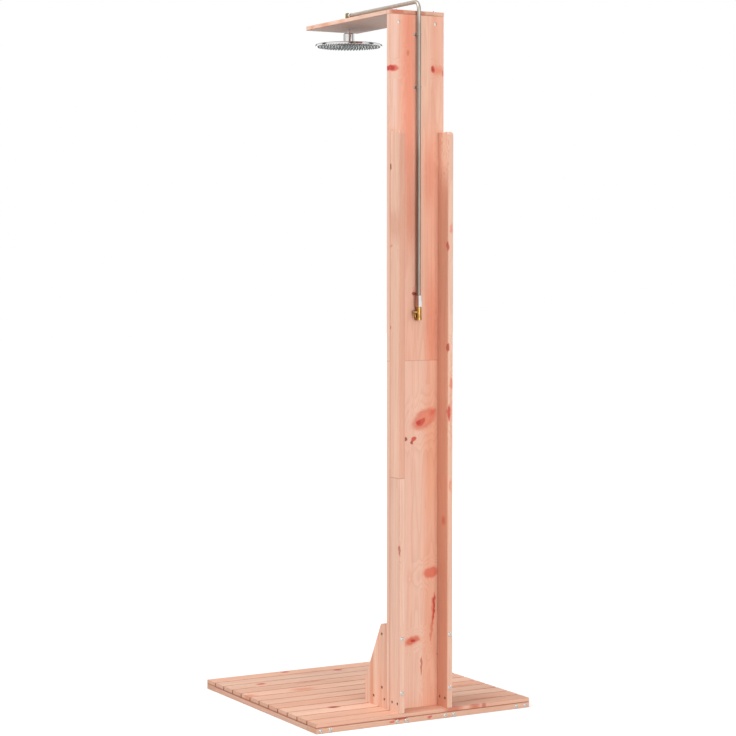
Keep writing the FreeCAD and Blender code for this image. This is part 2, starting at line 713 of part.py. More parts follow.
def build_roof():
    """The board that reaches from the post over the showering side and carries the shower."""
    roof = board(
        "roof_board", ("-post_width / 2", "web_near", "roof_under"), ("post_width", "roof_length", "roof_thick"), "y"
    )
    bolts = [(f"post_width / 2 + ({sign} * roof_bolt_half_pitch)", "board_thick / 2") for sign in (LEFT, RIGHT)]
    drill(roof, "z", bolts, "bolt_hole", "roof_thick")
    drill(roof, "z", [("post_width / 2", "outlet_reach")], "stem_radius + stem_clearance", "roof_thick")


def build_post_fasteners():
    """Connector bolts with barrel nuts at the foot and under the roof, and screws up the web's back."""
    sides = list(SIDES.values())
    levels = [f"deck_top + {z}" for z in FLANGE_BOLTS]
    bolt = connector_bolt("flange_bolt", "flange_depth + board_thick + barrel_setback + bolt_tail")
    spots = [(x, "near_edge", z) for x in sides for z in levels]
    group("flange_bolts", copies("flange_bolts", bolt, spots, FACING_NEAR))
    nut = barrel_nut("barrel_nut", "barrel_length")
    spots = [(x, "web_far + barrel_setback", z) for x in sides for z in levels]
    group("gusset_barrel_nuts", copies("gusset_barrel_nuts", nut, spots, FACING_NEAR))

    bolt = connector_bolt("foot_bolt", "deck_top - head_recess + barrel_setback + bolt_tail")
    feet = [(x, f"near_edge + {bolt_y}") for x in sides for bolt_y in FOOT_BOLTS]
    group("foot_bolts", copies("foot_bolts", bolt, [(x, y, "head_recess") for x, y in feet], FACING_DOWN))
    spots = [(x, y, "deck_top + barrel_setback") for x, y in feet]
    group("foot_barrel_nuts", copies("foot_barrel_nuts", nut, spots))

    bolt = connector_bolt("roof_bolt", "roof_thick + roof_barrel_setback + bolt_tail")
    spots = [(f"{sign} * roof_bolt_half_pitch", "web_near + board_thick / 2") for sign in (LEFT, RIGHT)]
    group("roof_bolts", copies("roof_bolts", bolt, [(x, y, "roof_top") for x, y in spots]))
    places = [(x, y, "roof_under - roof_barrel_setback") for x, y in spots]
    group("roof_barrel_nuts", copies("roof_barrel_nuts", nut, places, ACROSS))

    screw = wood_screw("web_screw", "web_screw_length")
    heights = [z for run in SCREW_RUNS for z in screw_heights(*run)]
    spots = [(x, "web_far", f"deck_top + {z}") for x in sides for z in heights]
    group("web_screws", copies("web_screws", screw, spots, FACING_FAR))


# ---- water line -----------------------------------------------------------------------------


def build_tube():
    """One tube: up the post, through a quarter bend and along above the roof board to the elbow."""
    body = doc.addObject("PartDesign::Body", "riser_tube")
    rise, reach = "tube_run - (tube_foot)", "tube_end - (tube_y)"
    spring = f"{rise} - tube_bend"
    path = sketch_on(body, "YZ_Plane")
    up, bend, along = 0, 1, 2
    origin = FreeCAD.Vector(0, 0, 0)
    spring_point = FreeCAD.Vector(0, number(spring), 0)
    bend_end = FreeCAD.Vector(number("tube_bend"), number(rise), 0)
    centre = FreeCAD.Vector(bend_end.x, spring_point.y, 0)
    circle = Part.Circle(centre, FreeCAD.Vector(0, 0, 1), number("tube_bend"))
    path.addGeometry(Part.LineSegment(origin, spring_point), False)
    path.addGeometry(Part.ArcOfCircle(circle, math.pi / 2, math.pi), False)
    path.addGeometry(Part.LineSegment(bend_end, FreeCAD.Vector(number(reach), bend_end.y, 0)), False)
    path.addConstraint(Sketcher.Constraint("Coincident", bend, 2, up, 2))
    path.addConstraint(Sketcher.Constraint("Coincident", bend, 1, along, 1))
    path.addConstraint(Sketcher.Constraint("Horizontal", along))
    pin_point(path, up, 1, "0", "0")
    pin_point(path, up, 2, "0", spring)
    pin_point(path, bend, 3, "tube_bend", spring)
    for end, text in ((1, "tube_bend"), (2, reach)):
        index = path.addConstraint(Sketcher.Constraint("DistanceX", -1, 1, along, end, number(text)))
        bind(path, f"Constraints[{index}]", text)
    section = sketch_on(body, "XY_Plane")
    draw_circle(section, "0", "0", "tube_radius")
    draw_circle(section, "0", "0", "tube_bore")
    doc.recompute()
    pipe = body.newObject("PartDesign::AdditivePipe", "pipe")
    pipe.Profile = section
    pipe.Spine = (path, ["Edge1", "Edge2", "Edge3"])
    doc.recompute()
    place(body, "0", "tube_y", "tube_foot")
    keep(body, "riser_tube")


CLIP_OUTER = "tube_hole + clip_thick"
CLIP_SCREWS = [f"{sign} * ({CLIP_OUTER} + clip_ear / 2)" for sign in (LEFT, RIGHT)]
CLIP_DROPS = ["clip_high", "clip_low"]


def clip_strip():
    """A bent strip: a saddle over the tube, two legs back to the web and an ear each side."""
    outer = primitive("Cylinder", Radius=CLIP_OUTER, Height="clip_width")
    width = f"2 * ({CLIP_OUTER})"
    legs = primitive("Box", f"-({CLIP_OUTER})", Length=width, Width="tube_standoff", Height="clip_width")
    left, back = f"-({CLIP_OUTER}) - clip_ear", "tube_standoff - clip_thick"
    ears = primitive("Box", left, back, Length=f"{width} + 2 * clip_ear", Width="clip_thick", Height="clip_width")
    bore = primitive("Cylinder", Radius="tube_hole", Height="clip_width")
    throat = primitive("Box", "-(tube_hole)", Length="2 * (tube_hole)", Width="tube_standoff", Height="clip_width")
    hole = "clip_screw_radius + screw_clearance"
    holes = [
        primitive("Cylinder", x, back, "clip_width / 2", FACING_FAR, Radius=hole, Height="clip_thick")
        for x in CLIP_SCREWS
    ]
    return cut("clip_strip", fuse("clip_solid", outer, legs, ears), bore, throat, *holes)


def build_clips():
    """Two clips hold the tube to the web, each with two screws."""
    spots = [("0", "tube_y", f"roof_under - {drop} - clip_width / 2") for drop in CLIP_DROPS]
    group("tube_clips", copies("tube_clips", clip_strip(), spots))
    screw = doc.addObject("PartDesign::Body", "clip_screw")
    revolve(screw, [
        ("0", "-clip_screw_length"),
        ("clip_screw_radius", "-clip_screw_length + 2 * clip_screw_radius"),
        ("clip_screw_radius", "0"),
        ("clip_screw_head", "0"),
        ("clip_screw_head", "clip_screw_head / 4"),
        ("clip_screw_head / 2", "clip_screw_head * 0.6"),
        ("0", "clip_screw_head * 0.6"),
    ])
    spots = [(x, "web_near - clip_thick", f"roof_under - {drop}") for x in CLIP_SCREWS for drop in CLIP_DROPS]
    group("clip_screws", copies("clip_screws", screw, spots, FACING_NEAR))


def hex_body(label, across, height):
    """A hexagonal bar standing on Z = 0, with its top corners turned off as on any nut."""
    body = doc.addObject("PartDesign::Body", label)
    drawing = sketch_on(body, "XY_Plane")
    draw_outline(drawing, hexagon(across))
    pad(body, drawing, height)
    corner = f"({across}) / sqrt(3)"
    drop = f"(({corner}) - ({across}) / 2) / sqrt(3)"
    profile = sketch_on(body, "XZ_Plane")
    draw_outline(profile, [(f"({across}) / 2", height), (corner, f"{height} - {drop}"), (corner, height)])
    groove = body.newObject("PartDesign::Groove", "groove")
    groove.Profile = profile
    groove.ReferenceAxis = (origin_feature(body, "Z_Axis"), [""])
    groove.Angle = 360
    doc.recompute()
    return body


MIDDLE = [("0", "0")]


def compression_nut(label, height, thread, x, y, z, turn=None):
    """Its open end screws over a male thread, and its lip presses the olive and closes round the tube."""
    nut = hex_body(label, "nut_across", height)
    drill(nut, "z", MIDDLE, "tube_hole", height)
    drill(nut, "z", MIDDLE, "thread_radius + thread_clearance", f"{thread} + olive_height")
    place(nut, x, y, z, turn)
    return keep(nut, label)


def build_olives():
    """The soft rings that the nuts squeeze on to the tube, one at each end of it."""
    ring = turned("olive", [
        ("tube_hole", "0"),
        ("thread_radius", "0"),
        ("thread_radius", "olive_height / 2"),
        ("(tube_hole + thread_radius) / 2", "olive_height"),
        ("tube_hole", "olive_height"),
    ], "0", "0", "0")
    low = copies("tube_olives", ring, [("0", "tube_y", "adapter_shoulder + thread_length")])
    thread_end = "outlet_y - elbow_shank - elbow_thread_length"
    high = copies("tube_olives", ring, [("0", thread_end, "tube_run")], FACING_NEAR)
    group("tube_olives", low + high)


def build_adapter():
    """Chromed fitting between the tube and the valve, with its nut."""
    body = hex_body("tube_adapter", "adapter_across", "adapter_height")
    for radius, start, length in (
        ("thread_radius", "adapter_height", "thread_length"),
        ("adapter_tail_radius", "-(adapter_tail)", "adapter_tail"),
    ):
        drawing = sketch_on(body, "XY_Plane", start)
        draw_circle(drawing, "0", "0", radius)
        pad(body, drawing, length)
    drill(body, "z", MIDDLE, "adapter_bore", "adapter_tail + adapter_height + thread_length", "-(adapter_tail)")
    drill(body, "z", MIDDLE, "tube_hole", "tube_socket", "adapter_height + thread_length - (tube_socket)")
    place(body, "0", "tube_y", "adapter_foot")
    keep(body, "tube_adapter")
    compression_nut("tube_nut", "nut_height", "thread_length", "0", "tube_y", "adapter_shoulder")


def build_valve():
    """Small ball valve: body, two seat rings, a bored ball, and a spindle with its packing nut."""
    body = doc.addObject("PartDesign::Body", "valve_body")
    revolve(body, [
        ("0", "0"),
        ("inlet_flare_radius", "0"),
        ("inlet_flare_radius", "inlet_flare_height"),
        ("valve_radius", "inlet_flare_height + 2 * (inlet_flare_radius - valve_radius)"),
        ("valve_radius", "valve_length"),
        ("0", "valve_length"),
    ])
    boss = sketch_on(body, "YZ_Plane", "-boss_reach")
    draw_circle(boss, "0", "valve_axis", "boss_radius")
    pad(body, boss, "boss_reach")
    chamber_floor = "valve_axis - (seat_back)"
    chamber = f"valve_length - ({chamber_floor})"
    drill(body, "z", MIDDLE, "adapter_tail_radius + thread_clearance", chamber, chamber_floor)
    drill(body, "z", MIDDLE, "inlet_radius", "inlet_depth")
    drill(body, "z", MIDDLE, "valve_bore", chamber_floor)
    drill(body, "x", [("0", "valve_axis")], "spindle_radius + spindle_clearance", "boss_reach", "-boss_reach")
    place(body, "0", "tube_y", "inlet_height")
    keep(body, "valve_body")

    seat = turned("seat_ring", [
        ("valve_bore", "-(seat_back)"),
        ("adapter_tail_radius", "-(seat_back)"),
        ("adapter_tail_radius", "-seat_front"),
        ("sqrt((seat_face) * (seat_face) - seat_front * seat_front)", "-seat_front"),
        ("valve_bore", "-sqrt((seat_face) * (seat_face) - valve_bore * valve_bore)"),
    ], "0", "0", "0")
    spot = [("0", "tube_y", "lever_z")]
    group("valve_seats", copies("valve_seats", seat, spot) + copies("valve_seats", seat, spot, FACING_DOWN))

    gland = hex_body("spindle_gland", "2 * boss_radius", "gland_thick")
    drill(gland, "z", MIDDLE, "spindle_radius + spindle_clearance", "gland_thick")
    place(gland, "-boss_reach", "tube_y", "lever_z", FACING_LEFT)
    keep(gland, "spindle_gland")


def build_lever():
    """What turns a quarter turn together: ball, spindle, lever and the nut that holds the lever."""
    sphere = primitive("Sphere", Radius="ball_radius")
    way = primitive("Cylinder", z="-ball_radius", Radius="valve_bore", Height="2 * ball_radius")
    flat = primitive(
        "Box",
        "-2 * ball_radius",
        "-ball_radius",
        "-ball_radius",
        Length="2 * ball_radius - ball_flat",
        Width="2 * ball_radius",
        Height="2 * ball_radius",
    )
    ball = cut("valve_ball", sphere, way, flat)
    place(ball, "0", "tube_y", "lever_z")
    keep(ball, "valve_ball")

    end = "lever_outer + lever_nut_height + spindle_radius / 4"
    spindle = primitive("Cylinder", "-ball_flat", "tube_y", "lever_z", FACING_LEFT, Radius="spindle_radius",
                        Height=f"{end} - ball_flat")
    keep(spindle, "valve_spindle")

    strip = doc.addObject("PartDesign::Body", "lever_strip")
    side = sketch_on(strip, "XZ_Plane", "-lever_boss_radius")
    bend = "lever_boss_radius + 2"
    draw_outline(side, [
        ("-(lever_inner)", "lever_boss_radius"),
        ("-(lever_inner)", f"-({bend})"),
        ("lever_drop - (lever_inner)", "-lever_length"),
        ("lever_drop - (lever_outer)", "-lever_length"),
        ("-(lever_outer)", f"-({bend})"),
        ("-(lever_outer)", "lever_boss_radius"),
    ])
    pad(strip, side, "2 * lever_boss_radius")
    bend_z = -number(bend)
    across = runs_along("y")
    soften(strip, lambda edge: across(edge) and abs(edge.CenterOfMass.z - bend_z) < 1e-3, "lever_bend")
    reach = "lever_outer"
    eye = primitive("Cylinder", turn=FACING_LEFT, Radius="lever_boss_radius", Height=reach)
    arm = primitive(
        "Box",
        f"-({reach})",
        "-lever_width / 2",
        "lever_width / 2 - lever_length",
        Length=reach,
        Width="lever_width",
        Height="lever_length - lever_width / 2",
    )
    tip = primitive("Cylinder", z="lever_width / 2 - lever_length", turn=FACING_LEFT, Radius="lever_width / 2",
                    Height=reach)
    blank = doc.addObject("Part::Common", "lever_blank")
    blank.Base = strip
    blank.Tool = fuse("lever_plan", eye, arm, tip)
    hole = primitive("Cylinder", turn=FACING_LEFT, Radius="spindle_radius + spindle_clearance", Height=reach)
    lever = cut("valve_lever", blank, hole)
    place(lever, "0", "tube_y", "lever_z")
    keep(lever, "valve_lever")

    nut = hex_body("lever_nut", "lever_nut_across", "lever_nut_height")
    drill(nut, "z", MIDDLE, "spindle_radius + spindle_clearance", "lever_nut_height")
    place(nut, "-(lever_outer)", "tube_y", "lever_z", FACING_LEFT)
    keep(nut, "lever_nut")


def build_elbow():
    """Brass elbow standing on the roof board, with the stem that hangs from it through the board."""
    block = doc.addObject("PartDesign::Body", "elbow_block")
    drawing = sketch_on(block, "XY_Plane", "-elbow_radius")
    near, far = "-elbow_radius", "elbow_radius"
    draw_outline(drawing, [(near, near), (far, near), (far, far), (near, far)])
    pad(block, drawing, "2 * elbow_radius")
    soften(block, lambda edge: True, "elbow_round")
    drop = "tube_run - (washer_top)"
    leg = primitive("Cylinder", z=f"-({drop})", Radius="elbow_radius", Height=drop)
    foot = primitive("Cylinder", z=f"-({drop})", Radius="elbow_foot_radius", Height="elbow_foot_height")
    arm = primitive("Cylinder", turn=FACING_NEAR, Radius="elbow_radius", Height="elbow_shank")
    reach = "elbow_shank + elbow_thread_length"
    thread = primitive("Cylinder", turn=FACING_NEAR, Radius="thread_radius", Height=reach)
    down = primitive("Cylinder", z=f"-({drop})", Radius="adapter_bore", Height=drop)
    seat = primitive("Cylinder", z=f"-({drop})", Radius="stem_radius + stem_clearance", Height="stem_engagement")
    way = primitive("Cylinder", turn=FACING_NEAR, Radius="adapter_bore", Height=reach)
    socket = primitive("Cylinder", y=f"-({reach}) + elbow_socket", turn=FACING_NEAR, Radius="tube_hole",
                       Height="elbow_socket")
    elbow = cut("elbow", fuse("elbow_solid", leg, foot, block, arm, thread), down, seat, way, socket)
    place(elbow, "0", "outlet_y", "tube_run")
    keep(elbow, "elbow")
    compression_nut(
        "elbow_nut", "elbow_nut_height", "elbow_thread_length", "0", "outlet_y - elbow_shank", "tube_run", FACING_NEAR
    )
    keep(turned("roof_washer", [
        ("stem_radius + stem_clearance", "0"),
        ("elbow_foot_radius + washer_thick", "0"),
        ("elbow_foot_radius + washer_thick", "washer_thick"),
        ("stem_radius + stem_clearance", "washer_thick"),
    ], "0", "outlet_y", "roof_top"), "roof_washer")
    bore = "stem_radius - stem_wall"
    height = "stem_top - (stem_foot)"
    corners = [(bore, "0"), ("stem_radius", "0"), ("stem_radius", height), (bore, height)]
    keep(turned("drop_stem", corners, "0", "outlet_y", "stem_foot"), "drop_stem")


# ---- overhead shower ------------------------------------------------------------------------


def build_swivel():
    """Ball joint: the ball turns on the stem, and the nut and its ring hold the shower to the ball."""
    sphere = primitive("Sphere", Radius="swivel_radius")
    neck = primitive("Cylinder", Radius="stem_radius", Height="neck_length")
    way = primitive("Cylinder", z="-swivel_radius", Radius="swivel_bore", Height="swivel_radius + neck_length")
    ball = cut("swivel_ball", fuse("swivel_solid", sphere, neck), way)
    place(ball, "0", "outlet_y", "swivel_z")
    keep(ball, "swivel_ball")

    shell = doc.addObject("PartDesign::Body", "swivel_nut_blank")
    revolve(shell, [
        ("0", "-collar_down"),
        ("collar_radius", "-collar_down"),
        ("collar_radius", "collar_up - collar_chamfer"),
        ("collar_radius - collar_chamfer", "collar_up"),
        ("0", "collar_up"),
    ])
    room = primitive("Sphere", Radius="cavity_radius")
    thread = primitive("Cylinder", z="-collar_down", Radius="hub_radius + thread_clearance",
                       Height="collar_down - hub_gap")
    mouth = primitive(
        "Cone",
        z="collar_lip",
        Radius1="sqrt((cavity_radius) * (cavity_radius) - collar_lip * collar_lip)",
        Radius2="collar_mouth_radius",
        Height="collar_up - collar_lip",
    )
    collar = cut("swivel_nut", shell, room, thread, mouth)
    place(collar, "0", "outlet_y", "swivel_z")
    keep(collar, "swivel_nut")

    blank = turned("swivel_seat_blank", [
        ("adapter_bore", "0"),
        ("seat_ring_radius", "0"),
        ("seat_ring_radius", "seat_ring_height"),
        ("adapter_bore", "seat_ring_height"),
    ], "0", "0", "-(seat_floor)")
    hollow = primitive("Sphere", Radius="cavity_radius")
    seat = cut("swivel_seat", blank, hollow)
    place(seat, "0", "outlet_y", "swivel_z")
    keep(seat, "swivel_seat")


def build_shower():
    """Thin round shower: a domed shell with a threaded hub, a face plate and the nozzle mat above it."""
    recess = "shower_radius - rim_width"
    ceiling = "shower_edge - shell_thick"
    hub_top = "shower_edge + shower_dome + collar_down + swivel_gap - hub_gap - swivel_gap"
    floor = "shower_edge + shower_dome + collar_down + swivel_gap - (seat_floor)"
    round_over = "shower_edge / 4"
    shell = turned("shower_shell", [
        ("adapter_bore", floor),
        ("seat_ring_radius + thread_clearance", floor),
        ("seat_ring_radius + thread_clearance", hub_top),
        ("hub_radius", hub_top),
        ("hub_radius", "shower_edge + shower_dome"),
        ("collar_radius", "shower_edge + shower_dome"),
        (f"shower_radius - 2 * ({round_over})", "shower_edge"),
        ("shower_radius", f"shower_edge - {round_over}"),
        ("shower_radius", f"{round_over} / 2"),
        (f"shower_radius - {round_over} / 2", "0"),
        (recess, "0"),
        (recess, "face_thick + mat_thick"),
        (f"{recess} - rim_width / 2", "face_thick + mat_thick"),
        (f"{recess} - rim_width / 2", ceiling),
        ("adapter_bore", f"{ceiling} + shower_dome"),
    ], "0", "outlet_y", "shower_foot")
    keep(shell, "shower_shell")
    disc = f"{recess} - thread_clearance"
    for label, start, thick in (("face_plate", "0", "face_thick"), ("nozzle_mat", "face_thick", "mat_thick")):
        plate = doc.addObject("PartDesign::Body", label)
        drawing = sketch_on(plate, "XY_Plane")
        draw_circle(drawing, "0", "0", disc)
        pad(plate, drawing, thick)
        place(plate, "0", "outlet_y", f"shower_foot + {start}")
        keep(plate, label)


# ---- whole ----------------------------------------------------------------------------------


def check(thing):
    """Stop on a failed object or a bad solid before anything is written."""
    if {"Invalid", "Error"} & set(thing.State):
        raise RuntimeError(f"{thing.Label} did not build: {thing.State}")


def write_nodes():
    doc.recompute()
    for thing in doc.Objects:
        check(thing)
    os.makedirs("parts", exist_ok=True)
    for node in nodes:
        if node.Shape.isNull() or not node.Shape.isValid():
            raise RuntimeError(f"{node.Label} has no valid shape")
        node.Shape.exportStep(f"parts/{node.Label}.step")


build_deck()
build_deck_fasteners()
for side, middle in SIDES.items():
    build_flange(side, middle)
    build_gusset(side, middle)
build_web()
build_roof()
build_post_fasteners()
build_tube()
build_clips()
build_adapter()
build_olives()
build_valve()
build_lever()
build_elbow()
build_swivel()
build_shower()
write_nodes()
print(f"{len(nodes)} nodes, {sum(len(node.Shape.Solids) for node in nodes)} solids")
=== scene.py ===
import math

import bmesh
import bpy
from mathutils import Matrix, Vector


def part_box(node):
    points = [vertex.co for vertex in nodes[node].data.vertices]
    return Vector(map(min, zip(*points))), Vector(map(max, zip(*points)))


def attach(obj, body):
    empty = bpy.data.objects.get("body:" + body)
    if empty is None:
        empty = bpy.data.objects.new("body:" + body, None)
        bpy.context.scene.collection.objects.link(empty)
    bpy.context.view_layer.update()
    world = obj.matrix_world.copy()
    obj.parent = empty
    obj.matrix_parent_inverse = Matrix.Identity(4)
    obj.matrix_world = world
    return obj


# Looks of an outdoor shower post: planed pink softwood, a satin steel tube, chromed and brass fittings
# and a round overhead shower with grey nozzles. Metres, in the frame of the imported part: X along the
# deck's near edge, Y towards the showering side, Z up.

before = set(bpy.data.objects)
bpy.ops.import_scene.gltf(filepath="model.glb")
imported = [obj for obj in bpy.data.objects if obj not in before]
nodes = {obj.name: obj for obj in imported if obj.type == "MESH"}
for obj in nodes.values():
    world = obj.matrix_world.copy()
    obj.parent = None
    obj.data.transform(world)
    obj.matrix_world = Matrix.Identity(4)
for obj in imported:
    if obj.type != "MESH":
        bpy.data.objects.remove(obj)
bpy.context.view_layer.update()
MM = 0.001

# The photograph's camera, found from the post's edges and the deck's corners.
CAMERA_PLACE = Vector((-3.4141, -6.0229, 1.4794))
CAMERA_TURN = math.radians(29.637)
CAMERA_DIP = math.radians(2.984)
FOCAL_PIXELS = 2063.5
PHOTO_PIXELS = 736
SENSOR = 36


def paint(code):
    """An sRGB hex value as linear red, green, blue and alpha."""
    values = [int(code[i:i + 2], 16) / 255 for i in (1, 3, 5)]
    return [v / 12.92 if v <= 0.04045 else ((v + 0.055) / 1.055) ** 2.4 for v in values] + [1]


def add(tree, kind, inputs=None, stops=(), **settings):
    """Add a shader node with its settings, its colour stops and its inputs, and give its outputs.

    An input that is a socket is linked, a hex value is set as paint and any other value as it is. Inputs
    that share a name go by number: a MapRange has its value at 0, the range it comes from at 1 and 2
    and the range it goes to at 3 and 4, and a Mix has its numbers at 2 and 3 and its colours at 6 and 7.
    """
    node = tree.nodes.new("ShaderNode" + kind)
    for name, value in settings.items():
        setattr(node, name, value)
    for index, (place, colour) in enumerate(stops):
        elements = node.color_ramp.elements
        stop = elements[index] if index < 2 else elements.new(place)
        stop.position, stop.color = place, paint(colour)
    for socket, value in (inputs or {}).items():
        if isinstance(value, bpy.types.NodeSocket):
            tree.links.new(value, node.inputs[socket])
        else:
            node.inputs[socket].default_value = paint(value) if isinstance(value, str) else value
    return node.outputs


def new_material(name):
    """An empty material and its node tree."""
    material = bpy.data.materials.new(name)
    material.use_nodes = True
    tree = material.node_tree
    tree.nodes.clear()
    return material, tree


def finish_material(material, tree, surface):
    """Give the material its surface shader."""
    add(tree, "OutputMaterial", {"Surface": surface})
    return material


# Ranges are inputs of a MapRange: it comes from 1 and 2 and goes to 3 and 4, or to 0 and 1 where these
# aren't given. Most values of a noise lie between 0.3 and 0.7.
NOISE_RANGE = {1: 0.3, 2: 0.7}
PLAIN_IOR = 1.45


# ---- softwood -------------------------------------------------------------------------------
# Planed, knotty softwood under a thin clear oil: pale cream to salmon with warm bands along the grain,
# red-brown knots, resin streaks, growth rings that show as arcs on sawn ends, and a dull sheen.

PALE = "#ECC6B0"
PINK = "#E9B9A1"
ORANGE = "#E1A081"
LATE_WOOD = "#CB7D5E"
KNOT_RED = "#CE4A3A"
KNOT_DARK = "#7E3325"
SALMON = "#E07C60"
SAWN_END = "#D6A083"
SAWN_RING = "#B87452"
# Painted shade for rounded arrises and for seams between boards.
PAINTED_SEAM_SHADE = "#AB6146"
BAND_STOPS = [(0.36, PALE), (0.70, ORANGE), (0.54, PINK)]

# Seams between boards, painted as shade in the gaps between them: half width and strength.
SEAM = (2.0 * MM, 0.45)
FAINT_SEAM = (2.0 * MM, 0.30)
WIDE_SEAM = (4.0 * MM, 0.50)
DARK_SEAM = (3.5 * MM, 0.80)
GROOVE_STRENGTH = 0.55

# Sizes of the patterns. Noise is drawn out along the grain.
BAND_ACROSS = 20 * MM
BAND_ALONG = 1500 * MM
FIGURE_ACROSS = 36 * MM
FIGURE_ALONG = 850 * MM
FIBRE_ACROSS = 1.5 * MM
FIBRE_ALONG = 55 * MM
BROAD_ACROSS = 110 * MM
BROAD_ALONG = 700 * MM
FACE_RINGS = 9.0
END_RING_PITCH = 2.6 * MM
PITH_DEPTH = 110 * MM
RAGGED_PER_METRE = 60.0
RAGGED_REACH = 14 * MM
END_WOBBLE = 0.25
GRAIN_DEPTH = 0.4 * MM
GRAIN_STRENGTH = 0.12
FARTHEST_SHIFT = 40.0
RIGHT_THROUGH = 10.0

# Tones are given over this width, with the board's middle at zero.
TONE_SPAN = 0.5

# How much of its colour a layer lays over the one below, and where marks begin to fade to their rim.
TONE_SHARE = 0.74
KNOT_STRENGTH = 0.75
KNOT_FADE = 0.55
PATCH_FADE = 0.2

# Ranges of the layers: warm boards, grain that bends at a knot, late wood, rings on sawn ends, faces
# that are sawn across or look down, faces that lie along the grain, and normals that lean on an arris.
WARM_RANGE = {1: 0.3, 2: 1.0, 4: 0.5}
BEND_RANGE = {1: 3.0, 2: 0.0, 4: 0.35}
LATE_RANGE = {1: 0.35, 2: 0.95, 4: 0.18}
END_RING_RANGE = {1: 0.45, 2: 0.95, 4: 0.55}
SAWN_RANGE = {1: 0.75, 2: 0.95, 4: 0.42}
UNDER_RANGE = {1: -0.8, 2: -0.95, 4: 0.85}
LENGTHWISE_RANGE = {1: 0.1, 2: 0.3, 3: 0.65, 4: 0.0}
ARRIS_RANGE = {1: 0.92, 2: 0.8}

# Ranges of brightness and roughness.
FIBRE_TONE = {**NOISE_RANGE, 3: 0.95, 4: 1.035}
BROAD_TONE = {**NOISE_RANGE, 3: 0.93, 4: 1.04}
BOARD_TONE = {3: 0.92, 4: 1.06}
WOOD_ROUGHNESS = {**NOISE_RANGE, 3: 0.5, 4: 0.62}


